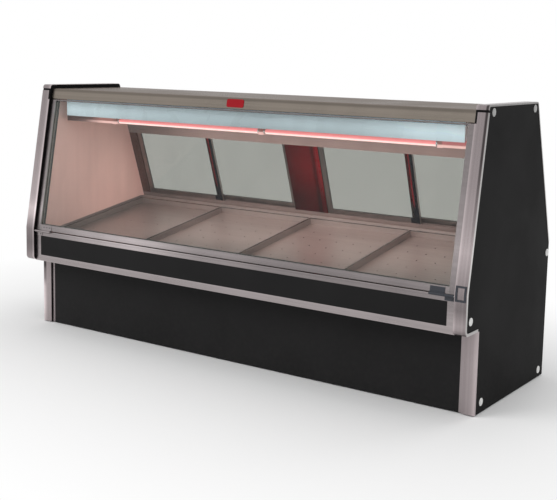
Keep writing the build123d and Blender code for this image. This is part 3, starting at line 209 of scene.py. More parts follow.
class CaseFinishes(bpy.types.PropertyGroup):
    """Colours of the case."""

    trim_steel: tint("Trim steel", "Brushed stainless of the end and base trims", (0.375, 0.325, 0.33))
    steel: tint("Long steel", "Brushed stainless of the nose and the glass bars", (0.3, 0.268, 0.27))
    # The fascia and top are one steel; the top's paler colour is painted light on the face that looks up
    canopy_steel: tint("Canopy steel", "Brushed stainless of the canopy's fascia", (0.175, 0.152, 0.13))
    canopy_top: tint("Canopy top", "Brushed stainless of the canopy's top", (0.255, 0.222, 0.202))
    stile_inside: tint("Stile insides", "Satin inner sides of the glass stiles", (0.27, 0.28, 0.265))
    # On the trims' legs this pale steel is a painted highlight; on the hinge pins and screws it is their own colour
    edge_steel: tint("Trim edges", "Polished legs of the end trims", (0.62, 0.6, 0.59))
    inside_steel: tint("Inside steel", "Brushed stainless of the tank and pans", (0.36, 0.33, 0.315))
    # The walls' pink is a painted reflection of pink light and goods
    wall_steel: tint("End walls", "Brushed inner end walls", (0.89, 0.665, 0.61))
    header: tint("Rear header", "Satin paint on the inside of the header over the doors", (0.185, 0.17, 0.164))
    # The jambs' brown is a painted reflection of the lit inside
    jamb: tint("Jambs", "Brown brushed posts at the ends of the doors", (0.125, 0.08, 0.068))
    # The mullion's red is a painted reflection, also on the doors' overlaps
    mullion: tint("Mullion", "Red sheen on the post between the pairs of doors", (0.32, 0.013, 0.018))
    door_metal: tint("Door frames", "Anodised frames and tracks of the doors", (0.25, 0.225, 0.215))
    # The overlaps' dark is painted shade
    meeting_stile: tint("Meeting stiles", "Dark stiles where two doors overlap", (0.02, 0.022, 0.032))
    black: tint("Black paint", "Satin black of the outer panels", (0.0125, 0.0122, 0.0125))
    cap_grey: tint("Bolt caps", "Moulded grey caps on the ends", (0.52, 0.52, 0.51))
    badge: tint("Badge", "Blank plate on the canopy", (0.3, 0.008, 0.014))
    housing: tint("Light housing", "Gloss paint of the light housing", (0.52, 0.61, 0.66))
    socket: tint("Lamp holders", "Brown plastic of the lamp holders and end covers", (0.042, 0.017, 0.014))
    lamp_upper: tint("Lamp, upper half", "Glow through the coated upper half of the lamps", (0.52, 0.15, 0.15))
    lamp_lower: tint("Lamp, lower half", "Glow of the clear lower half of the lamps", (0.74, 0.45, 0.41))
    clear_glass: tint("Front glass", "Tint of the front pane", (0.95, 0.975, 0.965))
    door_glass: tint("Door glass", "Tint of the rear panes", (0.345, 0.345, 0.32))
    rubber: tint("Rubber", "Gasket of the front glass", (0.066, 0.07, 0.064))
    hinge: tint("Hinges", "Dark metal of the hinges", (0.022, 0.025, 0.034))
    galvanised: tint("Galvanised sheet", "Shell, rails and tray", (0.27, 0.275, 0.28))
    copper: tint("Copper", "Refrigerant lines", (0.6, 0.27, 0.15))
    aluminium: tint("Aluminium", "Coils and fan", (0.58, 0.58, 0.58))


class CaseFittings(bpy.types.PropertyGroup):
    """Sizes of the small fittings."""

    cap_radius: length("Cap radius", "Radius of a bolt cap", 0.017)
    cap_height: length("Cap height", "Height of a bolt cap at its crown", 0.003)
    screw_radius: length("Screw radius", "Radius of a panel screw's head", 0.0045)
    hinge_screw_radius: length("Hinge screw radius", "Radius of a hinge screw's head", 0.0032)
    screw_height: length("Screw height", "Height of a screw's head", 0.0018)
    hem_radius: length("Hem radius", "Radius of the rolled edge round a deck pan", 0.0022)
    tube_radius: length("Lamp radius", "Radius of a lamp tube", 0.0125)
    tube_cap: length("Lamp cap", "Length of the metal cap at a lamp's end", 0.012)
    gasket_depth: length("Gasket depth", "Depth of the gasket behind the glass frame", 0.003)
    knob_radius: length("Knob radius", "Radius of the thermostat knob's skirt", 0.02)


class CaseStage(bpy.types.PropertyGroup):
    """Floor, light and camera of the studio."""

    floor_size: length("Floor size", "Half the width of the floor", 40.0)
    floor_tint: tint("Floor colour", "Pale floor", (0.88, 0.88, 0.88))
    sky: amount("Sky light", "Strength of the even light from all round", 0.62, min=0.0)
    key_watts: watts("Key light", "Power of the soft light at the front left", 190.0)
    fill_watts: watts("Fill light", "Power of the soft light at the right", 40.0)
    rear_watts: watts("Rear light", "Power of the soft light at the rear", 110.0)
    lamp_watts: watts("Lamp row light", "Power of the light under the canopy", 10.0)
    wall_watts: watts("Wall light", "Power of the light on the left-hand wall", 0.72)
    lens_mm: amount("Lens", "Focal length of the camera in millimetres", 69.01, min=1.0)
    lens_shift: amount("Lens shift", "Vertical shift of the lens, as a share of the image's width", -0.0898)
    camera_place: bpy.props.FloatVectorProperty(
        name="Camera", description="Place of the camera", default=(2.9597, -4.2094, 1.4483), unit="LENGTH"
    )
    camera_turn: turn("Turn", "How far round the camera stands", 34.664)
    camera_pitch: turn("Pitch", "How far the camera looks down", 7.808)
    camera_roll: turn("Roll", "How far the camera leans", 1.153)


class CaseSettings(bpy.types.PropertyGroup):
    """All that a user would change on the case and its stage."""

    finishes: bpy.props.PointerProperty(type=CaseFinishes, name="Finishes", description="Colours of the case")
    fittings: bpy.props.PointerProperty(type=CaseFittings, name="Fittings", description="Sizes of small fittings")
    stage: bpy.props.PointerProperty(type=CaseStage, name="Stage", description="Floor, light and camera")


# Finishes

def rgba(colour):
    """A colour with full alpha."""
    return (*colour, 1.0)


def shade(colour, factor):
    """A colour made lighter or darker."""
    return [min(channel * factor, 1.0) for channel in colour]


class Nodes:
    """The cleared node tree of a material or world, and the steps that it is made in."""

    def __init__(self, owner):
        owner.use_nodes = True
        self.tree = owner.node_tree
        self.tree.nodes.clear()

    def add(self, kind, inputs=None, **settings):
        """One node: settings go on the node itself, and inputs are values to set or sockets to link."""
        made = self.tree.nodes.new(f"ShaderNode{kind}")
        for key, value in settings.items():
            setattr(made, key, value)
        for key, value in (inputs or {}).items():
            if isinstance(value, bpy.types.NodeSocket):
                self.tree.links.new(value, made.inputs[key])
            else:
                made.inputs[key].default_value = value
        return made

    def coords(self):
        """Object coordinates."""
        return self.add("TexCoord").outputs["Object"]

    def spot(self, axis):
        """One of the Object coordinates."""
        return self.add("SeparateXYZ", {"Vector": self.coords()}).outputs[axis]

    def noise(self, scale, detail=3.0, warp=0.0):
        """Noise on Object coordinates, with its own count per metre along each axis or one for all."""
        scale = (scale,) * 3 if isinstance(scale, float) else scale
        placed = self.add("Mapping", {"Vector": self.coords(), "Scale": scale}).outputs["Vector"]
        values = {"Vector": placed, "Scale": 1.0, "Detail": detail, "Distortion": warp}
        return self.add("TexNoise", values).outputs["Fac"]

    def span(self, value, low, high, first=0.0, second=1.0):
        """A value carried from one range to another and held at the ends."""
        values = {"Value": value, "From Min": low, "From Max": high, "To Min": first, "To Max": second}
        return self.add("MapRange", values).outputs["Result"]

    def sums(self, operation, first, second=0.0):
        """One step of arithmetic on two values."""
        return self.add("Math", {0: first, 1: second}, operation=operation).outputs["Value"]

    def plus(self, first, second):
        """One value added to another."""
        return self.sums("ADD", first, second)

    def times(self, first, second):
        """One value times another."""
        return self.sums("MULTIPLY", first, second)

    def rest(self, share):
        """What a share leaves of 1."""
        return self.sums("SUBTRACT", 1.0, share)

    def rise(self, value, stops):
        """A number that follows straight lines between stops of (value, number), and is held past the ends."""
        total = stops[0][1]
        for (low, first), (high, second) in zip(stops, stops[1:]):
            total = self.plus(total, self.span(value, low, high, 0.0, second - first))
        return total

    def either(self, share, first, second):
        """A number between two others, by a share."""
        return self.add("Mix", {0: share, 2: first, 3: second}).outputs[0]

    def between(self, share, first, second):
        """A colour between two others, by a share."""
        colours = {6 + at: value if isinstance(value, bpy.types.NodeSocket) else rgba(value)
                   for at, value in enumerate((first, second))}
        return self.add("Mix", {0: share, **colours}, data_type="RGBA").outputs[2]

    def mottled(self, value, colour, first, second, low=0.3, high=0.7):
        """A colour that goes from one shade to another as a value goes from low to high."""
        return self.between(self.span(value, low, high), shade(colour, first), shade(colour, second))

    def scaled(self, tone, factor):
        """A colour times a number."""
        values = {0: 1.0, 6: tone, 7: factor}
        return self.add("Mix", values, data_type="RGBA", blend_type="MULTIPLY").outputs[2]

    def raised(self, height, depth=LINE_DEPTH, strength=1.0):
        """A normal bent by a height."""
        values = {"Height": height, "Distance": depth, "Strength": strength}
        return self.add("Bump", values).outputs["Normal"]

    def off_middle(self):
        """Distance from the middle of the case along its length."""
        return self.sums("ABSOLUTE", self.spot("X"))

    def at_left(self):
        """1 on the left-hand half of the case, else 0."""
        return self.sums("LESS_THAN", self.spot("X"), 0.0)

    def rear_facing(self):
        """How squarely a face looks out of the case along its rear slope: 1 out, 0 across, -1 in."""
        facing = self.add("NewGeometry").outputs["True Normal"]
        return self.add("VectorMath", {0: facing, 1: REAR_OUT}, operation="DOT_PRODUCT").outputs["Value"]

    def faces_inside(self):
        """1 on faces that look into the case from its rear slope, else 0."""
        return self.sums("LESS_THAN", self.rear_facing(), -0.5)

    def seen_rays(self):
        """1 for rays from the camera and for those mirrored or let through on the way, else 0."""
        path = self.add("LightPath").outputs
        mirrored = self.sums("MAXIMUM", path["Is Camera Ray"], path["Is Glossy Ray"])
        return self.sums("MAXIMUM", mirrored, path["Is Transmission Ray"])


class Finish(Nodes):
    """A material with one shader joined to its output, and the shader's plain values by name."""

    def __init__(self, name, **values):
        self.material = bpy.data.materials.new(name)
        super().__init__(self.material)
        self.shader = self.add("BsdfPrincipled")
        for key, value in values.items():
            self.shader.inputs[key.replace("_", " ")].default_value = value
        self.output = self.add("OutputMaterial", {"Surface": self.shader.outputs["BSDF"]})

    @property
    def tone(self):
        """What is linked to the shader's colour so far."""
        return self.shader.inputs["Base Color"].links[0].from_socket

    def join(self, **sockets):
        """Links sockets to the shader's inputs by name."""
        for key, socket in sockets.items():
            self.tree.links.new(socket, self.shader.inputs[key.replace("_", " ")])
        return self

    def shaded(self, factor):
        """Multiplies the colour so far by a number."""
        return self.join(Base_Color=self.scaled(self.tone, factor))

    def streaks(self):
        """Long upright streaks, as a factor on a colour."""
        return self.span(self.noise((120.0, 2.0, 2.0)), 0.3, 0.7, 0.85, 1.15)

    def steel_outside(self, steel):
        """Streaked plain steel on the faces that look out of the rear slope, over the colour so far."""
        outside = self.sums("GREATER_THAN", self.rear_facing(), 0.5)
        return self.join(Base_Color=self.between(outside, self.tone, self.scaled(rgba(steel), self.streaks())))

    def front_glint(self, share):
        """How bright the front's long steel is along the case: a soft painted glint left of its middle, by a share."""
        return self.either(share, 1.0, self.rise(self.spot("X"), FRONT_GLINT))

    def upright_bands(self):
        """How bright the upright steel is by height, in painted reflection bands, other ones at the left-hand end than
        at the right.
        """
        height = self.spot("Z")
        return self.either(self.at_left(), self.rise(height, STEEL_SHADES), self.rise(height, LEFT_SHADES))


def brushed(name, colour, grain, gloss=(0.22, 0.4), metal=1.0, mark=0.13, depth=LINE_DEPTH):
    """Brushed sheet: noise drawn out along the grain gives fine lines of height, gloss and shade.

    A coarser copy gives streaks, and slow noise gives the patches where a cloth has wiped it."""
    coat = Finish(name, Metallic=metal)
    lines = coat.noise(grain, detail=2.0)
    streaks = coat.noise([count / COARSER for count in grain])
    wipes = coat.noise(2.3, detail=5.0, warp=0.8)
    worn = coat.plus(coat.span(streaks, 0.3, 0.7, 0.0, 0.55), coat.span(wipes, 0.35, 0.65, 0.0, 0.45))
    tone = coat.between(worn, shade(colour, 1 - mark), shade(colour, 1 + mark))
    rough = coat.plus(coat.span(lines, 0.25, 0.75, 0.0, 0.6), coat.span(wipes, 0.35, 0.7, 0.0, 0.4))
    return coat.join(Base_Color=tone, Roughness=coat.span(rough, 0.0, 1.0, *gloss), Normal=coat.raised(lines, depth))


def edge_trim(name, colour, edge_colour):
    """Brushed trim of an end: painted bands of light and shade by height, a painted highlight at its inner edge
    and a painted highlight on its outer leg.

    A painted dark reflection runs down the right-hand bend and fades out below the middle."""
    coat = brushed(name, colour, LINES_ACROSS_X)
    side, out, height = coat.spot("X"), coat.off_middle(), coat.spot("Z")
    # Painted highlights along the trims' inner edges, stronger on the left
    right_edge_highlight = coat.span(out, *RIGHT_TRIM_EDGE, 1.4, 1.0)
    left_edge = coat.span(out, *LEFT_TRIM_EDGE, 1.75, 1.0)
    painted_edge_highlight = coat.either(coat.at_left(), right_edge_highlight, left_edge)
    tone = coat.scaled(coat.tone, coat.times(coat.upright_bands(), painted_edge_highlight))
    # A painted dark reflection down the right-hand bend
    bend = coat.times(coat.span(side, *TRIM_BEND_STARTS, 0.0, 0.9), coat.span(side, *TRIM_BEND_ENDS, 1.0, 0.0))
    bend = coat.times(bend, coat.span(height, *TRIM_BEND_FADES, 0.15, 1.0))
    tone = coat.between(bend, tone, shade(colour, 0.1))
    # A painted highlight on the outer leg, with painted bands by height
    bright = coat.mottled(coat.noise((4.0, 60.0, 60.0)), edge_colour, 0.9, 1.0)
    bright = coat.scaled(bright, coat.rise(height, LEG_SHADES))
    return coat.join(Base_Color=coat.between(coat.sums("GREATER_THAN", out, TRIM_LEG), tone, bright))


def base_trim(name, colour):
    """Brushed corner trim of the base: painted light, brightest at its outer edge, and painted shade under the nose.

    The outer edge of the left-hand trim has a painted reflection, bright low down, like the floor, and dark high up,
    like the nose."""
    coat = brushed(name, colour, LINES_UPRIGHT)
    height = coat.spot("Z")
    # Painted light and shade: bands by height, other ones on the left-hand outer edge, and brighter outwards
    left_edge = coat.span(coat.spot("X"), *BASE_LEFT_EDGE, 1.0, 0.0)
    down = coat.either(left_edge, coat.rise(height, BASE_SHADES), coat.rise(height, BASE_LEFT_SHADES))
    return coat.shaded(coat.times(coat.rise(coat.off_middle(), BASE_ACROSS), down))


def nose_sheet(name, colour):
    """Brushed nose: lines run along it, and painted light makes its lower strip brighter and puts painted highlights
    on the strips' bends.

    The upper strip has a painted glint."""
    coat = brushed(name, colour, LINES_ALONG_X)
    height = coat.spot("Z")
    # Painted bands by height, and a painted glint on the upper strip
    glint = coat.front_glint(coat.span(height, *UPPER_STRIP_STARTS))
    return coat.shaded(coat.times(coat.rise(height, NOSE_SHADES), glint))


def canopy_sheet(name, colour, top_colour, top):
    """Brushed canopy: lines run along it, the fold over its fascia has painted shade, and the top, above a height,
    is paler with painted light.
    """
    coat = brushed(name, colour, LINES_ALONG_X)
    coat.shader.inputs["Specular Tint"].default_value = rgba(CANOPY_GLINT)
    pale = coat.mottled(coat.noise([count / COARSER for count in LINES_ALONG_X]), top_colour, 0.88, 1.1)
    height = coat.spot("Z")
    # Painted shade at the fold over the fascia, and the top's paler colour as painted light
    fascia = coat.scaled(coat.tone, coat.rise(height, ((top - 0.018, 1.35), (top - 0.01, 0.95))))
    return coat.join(Base_Color=coat.between(coat.span(height, top - 0.004, top - 0.001), fascia, pale))


def glass_bars(name, colour, inner_colour):
    """Brushed bars of the front glass: lines run up the stiles and along the rails, under painted bands of light
    and shade by height.

    The lower rail has a painted glint, and the inner sides of the stiles are satin."""
    coat = brushed(name, colour, LINES_ALONG_X)
    out, height = coat.off_middle(), coat.spot("Z")
    stile = coat.sums("GREATER_THAN", out, STILE_EDGE)
    lines = coat.either(stile, coat.noise(LINES_ALONG_X, detail=2.0), coat.noise(LINES_ACROSS_X, detail=2.0))
    # Painted bands of light and shade on the rails and stiles, and a painted glint on the lower rail
    glint = coat.front_glint(coat.sums("LESS_THAN", height, LOWER_RAIL_ENDS))
    rails = coat.times(coat.rise(height, RAIL_SHADES), glint)
    tone = coat.scaled(coat.tone, coat.either(stile, rails, coat.upright_bands()))
    past = coat.sums("ABSOLUTE", coat.sums("SUBTRACT", out, STILE_EDGE))
    inner = coat.sums("LESS_THAN", past, STILE_EDGE_ROOM)
    rough = coat.span(lines, 0.25, 0.75, 0.22, 0.4)
    coat.join(Normal=coat.raised(lines), Roughness=rough, Metallic=coat.rest(inner))
    return coat.join(Base_Color=coat.between(inner, tone, inner_colour))


def door_bars(name, colour, dark, sheen):
    """Brushed door frame: lines run up the stiles, and where two doors overlap the stiles have painted shade.

    An overlap has a painted red reflection on its left, a painted blue-black shade in its middle and a painted
    highlight on its right-hand edge. The red reflection is only on faces that look into the case, and fades
    out low down."""
    coat = brushed(name, colour, POST_LINES, gloss=(0.26, 0.42))
    side = coat.spot("X")
    off = coat.sums("SUBTRACT", side, coat.times(coat.sums("SIGN", side), DOORS_MEET))
    low = coat.span(coat.spot("Z"), *DOOR_SHEEN_FADES, 1.0, 0.0)
    plain = coat.sums("MAXIMUM", coat.rest(coat.faces_inside()), low)
    # A painted red reflection on the inner faces, and painted blue-black shade in the overlap
    right = coat.sums("MAXIMUM", coat.span(off, *OVERLAP_SHEEN_ENDS), plain)
    overlap = coat.between(right, shade(sheen, 2.2), dark)
    # A painted highlight on the overlap's right-hand edge
    overlap = coat.between(coat.span(off, *OVERLAP_EDGE_STARTS), overlap, shade(colour, 1.6))
    meeting = coat.span(coat.sums("ABSOLUTE", off), *OVERLAP_ENDS, 1.0, 0.0)
    return coat.join(Base_Color=coat.between(meeting, coat.tone, overlap))


def header_sheet(name, paint, steel):
    """Header over the doors: brushed steel outside, and satin paint on the faces that look into the case."""
    coat = brushed(name, steel, LINES_ALONG_X)
    inside = coat.faces_inside()
    pale = coat.mottled(coat.noise(3.0, detail=4.0, warp=0.5), paint, 0.92, 1.08, 0.35, 0.65)
    return coat.join(Base_Color=coat.between(inside, coat.tone, pale), Metallic=coat.rest(inside))


def red_post(name, colour, brown, steel):
    """Brushed post: steel outside, a painted brown reflection at its sides, and a painted red reflection on its inner
    face, darker low down.

    The painted reflection brightens past a dull line near the right-hand edge."""
    coat = brushed(name, brown, POST_LINES, gloss=(0.26, 0.42), mark=0.2, depth=0.00001)
    # A painted red reflection, darker low down and with a dull line near the right-hand edge
    red = coat.times(coat.rise(coat.spot("X"), POST_ACROSS), coat.rise(coat.spot("Z"), POST_SHADES))
    red = coat.scaled(rgba(colour), coat.times(red, coat.streaks()))
    return coat.join(Base_Color=coat.between(coat.faces_inside(), coat.tone, red)).steel_outside(steel)


def jamb_post(name, brown, steel):
    """Brushed posts at the ends of the doors: steel outside, and a painted brown reflection towards the inside."""
    return brushed(name, brown, POST_LINES, gloss=(0.25, 0.42), mark=0.2).steel_outside(steel)


def track_metal(name, colour, upper):
    """Brushed tracks: bare metal below the doors, and the header's paint above them."""
    coat = brushed(name, colour, LINES_ALONG_X, gloss=(0.3, 0.46), metal=0.6)
    above = coat.sums("GREATER_THAN", coat.spot("Z"), BETWEEN_TRACKS)
    return coat.join(Base_Color=coat.between(above, coat.tone, upper))


def satin_paint(name, colour, dust=0.0, gloss=(0.36, 0.5), shine=0.06):
    """Satin paint: fine noise gives an orange peel, slow noise its sheen, and dust thickens to the floor."""
    coat = Finish(name, Specular_IOR_Level=shine)
    peel = coat.noise(420.0, detail=1.0)
    sheen = coat.noise(3.0, detail=4.0, warp=0.5)
    scuffs = coat.noise((7.0, 7.0, 260.0), detail=2.0)
    tone = coat.mottled(sheen, colour, 0.92, 1.08, 0.35, 0.65)
    tone = coat.between(coat.span(scuffs, 0.7, 0.78, 0.0, 0.3), tone, shade(colour, 1.8))
    low = coat.span(coat.spot("Z"), *DUST_FADES, dust, 0.0)
    grit = coat.span(coat.noise(55.0, detail=6.0), 0.42, 0.7)
    tone = coat.between(coat.times(low, grit), tone, DUST)
    rough = coat.span(sheen, 0.3, 0.7, *gloss)
    return coat.join(Base_Color=tone, Roughness=rough, Normal=coat.raised(peel, 0.00004, 0.5))


def moulded(name, colour, gloss=(0.35, 0.5), grain=1400.0, shine=0.5):
    """Moulded plastic: a fine pebble grain, a slow change of shade, and rubbed patches with more gloss."""
    coat = Finish(name, Specular_IOR_Level=shine)
    pebble = coat.noise(grain, detail=1.0)
    slow = coat.noise(40.0)
    rough = coat.span(slow, 0.3, 0.7, *gloss)
    tone = coat.mottled(slow, colour, 0.9, 1.08)
    return coat.join(Base_Color=tone, Roughness=rough, Normal=coat.raised(pebble, strength=0.6))


def cap_plastic(name, colour):
    """Moulded plastic of the bolt caps, with painted light: paler low on the ends, and painted shade under the canopy.
    """
    coat = moulded(name, colour)
    return coat.shaded(coat.rise(coat.spot("Z"), CAP_SHADES))


def sheet_glass(name, colour):
    """Sheet glass: it bends and mirrors light, lamps shine straight through, and wipe marks dull it a little."""
    coat = Finish(name, Roughness=0.0, Transmission_Weight=1.0, IOR=1.25)
    wipes = coat.noise((5.0, 2.0, 2.0), detail=5.0, warp=1.2)
    through = coat.add("BsdfTransparent", {"Color": rgba(colour)}).outputs["BSDF"]
    lamp_ray = coat.add("LightPath").outputs["Is Shadow Ray"]
    mixed = coat.add("MixShader", {0: lamp_ray, 1: coat.shader.outputs["BSDF"], 2: through}).outputs["Shader"]
    coat.tree.links.new(mixed, coat.output.inputs["Surface"])
    return coat.join(Base_Color=coat.mottled(wipes, colour, 1.0, 0.96, 0.45, 0.7))


def lamp_glow(name, upper, lower, middle, reach):
    """Lit lamp: the glow changes from the clear lower half to the coated upper half, and is grainy like phosphor."""
    coat = Finish(name, Roughness=0.25, Emission_Strength=1.15)
    half = coat.span(coat.spot("Z"), middle - reach, middle + reach)
    share = coat.plus(half, coat.span(coat.noise(300.0), 0.3, 0.7, -0.06, 0.06))
    glow, glass = coat.between(share, lower, upper), coat.between(share, LAMP_WHITE, upper)
    return coat.join(Emission_Color=glow, Base_Color=glass)


def lamp_holder(name, colour, upper, lower, level):
    """Moulded lamp holders and end covers: pebbled brown plastic, with the lamps' light painted on as a glow,
    their lower colour below a height and their upper colour or a brightened brown above it.

    The painted glow of the right-hand cover runs all through, and that of the left-hand one fades out along it."""
    coat = Finish(name, Roughness=0.5, Emission_Strength=1.0)
    pebble = coat.noise(900.0, detail=1.0)
    side = coat.spot("X")
    # Painted light: the glow below and above the lamps' middle
    below = coat.span(coat.spot("Z"), level - 0.002, level + 0.002, 1.0, 0.0)
    right = coat.span(side, *RIGHT_COVER_STARTS)
    above = coat.between(right, coat.scaled(rgba(colour), coat.rise(side, COVER_LIT)), shade(upper, 0.75))
    light = coat.between(below, above, coat.scaled(rgba(lower), coat.rise(side, COVER_GLOW)))
    tone = coat.mottled(coat.noise(40.0), colour, 0.8, 1.2)
    return coat.join(Base_Color=tone, Emission_Color=light, Normal=coat.raised(pebble))


def housing_paint(name, colour):
    """Gloss paint of the light housing, with painted light: paler towards both ends and towards its top."""
    coat = satin_paint(name, colour, gloss=(0.2, 0.34), shine=0.5)
    ends, up = coat.rise(coat.spot("X"), HOUSING_ACROSS), coat.rise(coat.spot("Z"), HOUSING_SHADES)
    return coat.shaded(coat.times(ends, up))


def hinge_metal(name, colour, steel):
    """Satin metal of the hinges: dark at the right-hand end, bare steel at the left."""
    coat = satin_paint(name, colour, gloss=(0.28, 0.42), shine=0.5)
    left = coat.at_left()
    return coat.join(Base_Color=coat.between(left, coat.tone, steel), Metallic=left)


def galvanised_sheet(name, colour):
    """Galvanised sheet: cells of zinc spangle change the shade and the gloss."""
    coat = Finish(name, Metallic=0.85)
    moved = coat.add("VectorMath", {0: coat.coords(), 1: (0.02, 0.02, 0.02)}, operation="ADD").outputs["Vector"]
    cells = coat.add("TexVoronoi", {"Vector": moved, "Scale": 75.0}).outputs["Color"]
    cell = coat.add("SeparateColor", {"Color": cells}).outputs[0]
    slow = coat.noise(4.0, detail=5.0)
    share = coat.plus(coat.span(cell, 0.0, 1.0, 0.0, 0.7), coat.span(slow, 0.35, 0.65, 0.0, 0.3))
    tone = coat.between(share, shade(colour, 0.86), shade(colour, 1.1))
    return coat.join(Base_Color=tone, Roughness=coat.span(cell, 0.0, 1.0, 0.38, 0.5))


def drawn_copper(name, colour):
    """Drawn copper: bright metal with brown oxide where slow noise is high."""
    coat = Finish(name, Metallic=1.0)
    oxide = coat.span(coat.noise(14.0, detail=6.0, warp=0.6), 0.42, 0.68)
    tone = coat.between(oxide, colour, shade(colour, 0.35))
    return coat.join(Base_Color=tone, Roughness=coat.span(oxide, 0.0, 1.0, 0.22, 0.55))


def cut_foam(name):
    """Foamed insulation: small closed cells and a skin of uneven shade."""
    coat = Finish(name, Roughness=0.85)
    cells = coat.add("TexVoronoi", {"Vector": coat.coords(), "Scale": 420.0}).outputs["Distance"]
    tone = coat.between(coat.span(coat.noise(6.0, detail=4.0), 0.3, 0.7), *FOAM_SHADES)
    return coat.join(Base_Color=tone, Normal=coat.raised(cells, 0.0006))


def dress(coat, *names):
    """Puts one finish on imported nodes."""
    for name in names:
        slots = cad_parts[name].data.materials
        slots.clear()
        slots.append(coat.material)


# Shapes

def skin(name, grids, wrap_rows=False, sharp=math.radians(35)):
    """A mesh over copies of a grid of points, shaped copies x rows x columns x 3.

    Neighbouring points make the faces, the last column joins the first, and so does the last row if it wraps.
    Points that fall together, as at a pole, are merged, and the faces are turned outwards."""
    copies, rows, columns, _ = grids.shape
    row, column = np.meshgrid(np.arange(rows - (not wrap_rows)), np.arange(columns), indexing="ij")
    after, beside = (row + 1) % rows, (column + 1) % columns
    corners = [row * columns + column, row * columns + beside, after * columns + beside, after * columns + column]
    quads = np.stack(corners, -1).reshape(1, -1, 4)
    faces = (quads + np.arange(copies).reshape(-1, 1, 1) * rows * columns).reshape(-1, 4)
    mesh = bpy.data.meshes.new(name)
    mesh.from_pydata(grids.reshape(-1, 3).tolist(), [], faces.tolist())
    work = bmesh.new()
    work.from_mesh(mesh)
    bmesh.ops.remove_doubles(work, verts=work.verts, dist=1e-7)
    bmesh.ops.recalc_face_normals(work, faces=work.faces)
    work.to_mesh(mesh)
    work.free()
    mesh.shade_smooth()
    mesh.set_sharp_from_angle(angle=sharp)
    return mesh


def round_angles(columns):
    """Even angles round a full turn."""
    return np.linspace(0.0, 2 * np.pi, columns, endpoint=False)


def turned(centres, axes, reach, level, columns):
    """Copies of a turned shape: centre + reach (cos a across + sin a along) + level out.

    reach and level are given for each row, or for each row and each of the angles a round it."""
    across, along, out = np.asarray(axes, float)
    angle = round_angles(columns)[:, None]
    ring = np.cos(angle) * across + np.sin(angle) * along
    radius, height = (np.reshape(values, (len(values), -1, 1)) for values in (reach, level))
    return np.asarray(centres, float)[:, None, None, :] + radius * ring + height * out


def laid(centre, side, up, flat, height):
    """Points of a flat grid, given along side and up from a centre, with a height out of the plane for each row."""
    side, up = np.asarray(side, float), np.asarray(up, float)
    points = np.asarray(centre, float) + flat[..., :1] * side + flat[..., 1:] * up
    return (points + height[:, None, None] * np.cross(side, up))[None]


def carried(centre, side, up, path, profile):
    """A closed profile carried round a closed flat path.

    A path point is (s, t) along side and up, and a profile point is (in, out): in along the path's inward
    normal, out along the plane's normal. A corner's normals are averaged and lengthened to keep the width."""
    way = np.roll(path, -1, axis=0) - path
    way /= np.linalg.norm(way, axis=1, keepdims=True)
    inward = np.stack([-way[:, 1], way[:, 0]], -1)
    mitre = inward + np.roll(inward, 1, axis=0)
    mitre /= (mitre * inward).sum(1, keepdims=True)
    return laid(centre, side, up, path[None] + profile[:, 0, None, None] * mitre[None], profile[:, 1])


def ribbon(centre, side, up, outer, inner, share, height):
    """A closed strip between two closed flat paths of as many points each.

    A row lies a share of the way from the outer path to the inner one, at its height out of the plane."""
    return laid(centre, side, up, outer[None] + share[:, None, None] * (inner - outer)[None], height)


def rounded_rectangle(half_x, half_y, radius, steps=5):
    """Points of a rectangle with rounded corners, counted anticlockwise round its middle."""
    angle = np.linspace(0.0, np.pi / 2, steps)
    corners = [np.stack([np.cos(angle), np.sin(angle)], -1) * radius]
    for _ in range(3):
        corners.append(corners[-1] @ np.array([[0, 1], [-1, 0]]))
    middle = np.array([(1, 1), (-1, 1), (-1, -1), (1, -1)]) * np.array([half_x - radius, half_y - radius])
    return np.concatenate([corner + place for corner, place in zip(corners, middle)])


def placed(name, data):
    """A new object in the scene."""
    made = bpy.data.objects.new(name, data)
    bpy.context.scene.collection.objects.link(made)
    return made


def piece(name, grids, coat, body, slot, *nodes, wrap_rows=False):
    """A skin over grids as an object, with its finish, its body and the nodes it stands for. The slot is not used."""
    mesh = skin(name, grids, wrap_rows)
    mesh.materials.append(coat.material)
    made = placed(name, mesh)
    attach(made, body)
    if nodes:
        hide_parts(*nodes)


def front_spot(x, up, out):
    """A point on the glass frame: up the slope from the frame's lower edge, and out of its front face."""
    low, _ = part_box("glass_frame")
    y = low.y + up * math.sin(FRONT_LEAN) - out * math.cos(FRONT_LEAN)
    z = low.z + FRAME_DEPTH * math.sin(FRONT_LEAN) + up * math.cos(FRONT_LEAN) + out * math.sin(FRONT_LEAN)
    return (x, y, z)


def rear_spot(x, up, out):
    """A point on the rear slope: up it from the knee, and out of the rear header's face."""
    y = REAR_KNEE[0] - up * math.sin(REAR_LEAN) + (out - REAR_RECESS) * math.cos(REAR_LEAN)
    z = REAR_KNEE[1] + up * math.cos(REAR_LEAN) + (out - REAR_RECESS) * math.sin(REAR_LEAN)
    return (x, y, z)


def screw_heads(centres, axes, radius, height):
    """Pan heads with a cross recess.

    Height over a share t of the radius is a flat dome, 1 - 0.35 t^3, less a cross of two narrow bells that
    fade out at half the radius. The rim drops straight to the sheet and closes under the head."""
    columns = 32
    share, angle = np.linspace(0.0, 1.0, 11)[:, None], round_angles(columns)[None]
    x, y = share * np.cos(angle), share * np.sin(angle)
    fade = 1 / (1 + np.exp((share - 0.5) * 24))
    cross = np.maximum(np.exp(-((x / 0.11) ** 2)), np.exp(-((y / 0.11) ** 2))) * fade
    dome = height * (1 - 0.35 * share**3 - 0.5 * cross)
    reach = np.append(share, [1.0, 0.0]) * radius
    level = np.concatenate([dome, np.zeros((2, columns))])
    return turned(centres, axes, reach, level, columns)


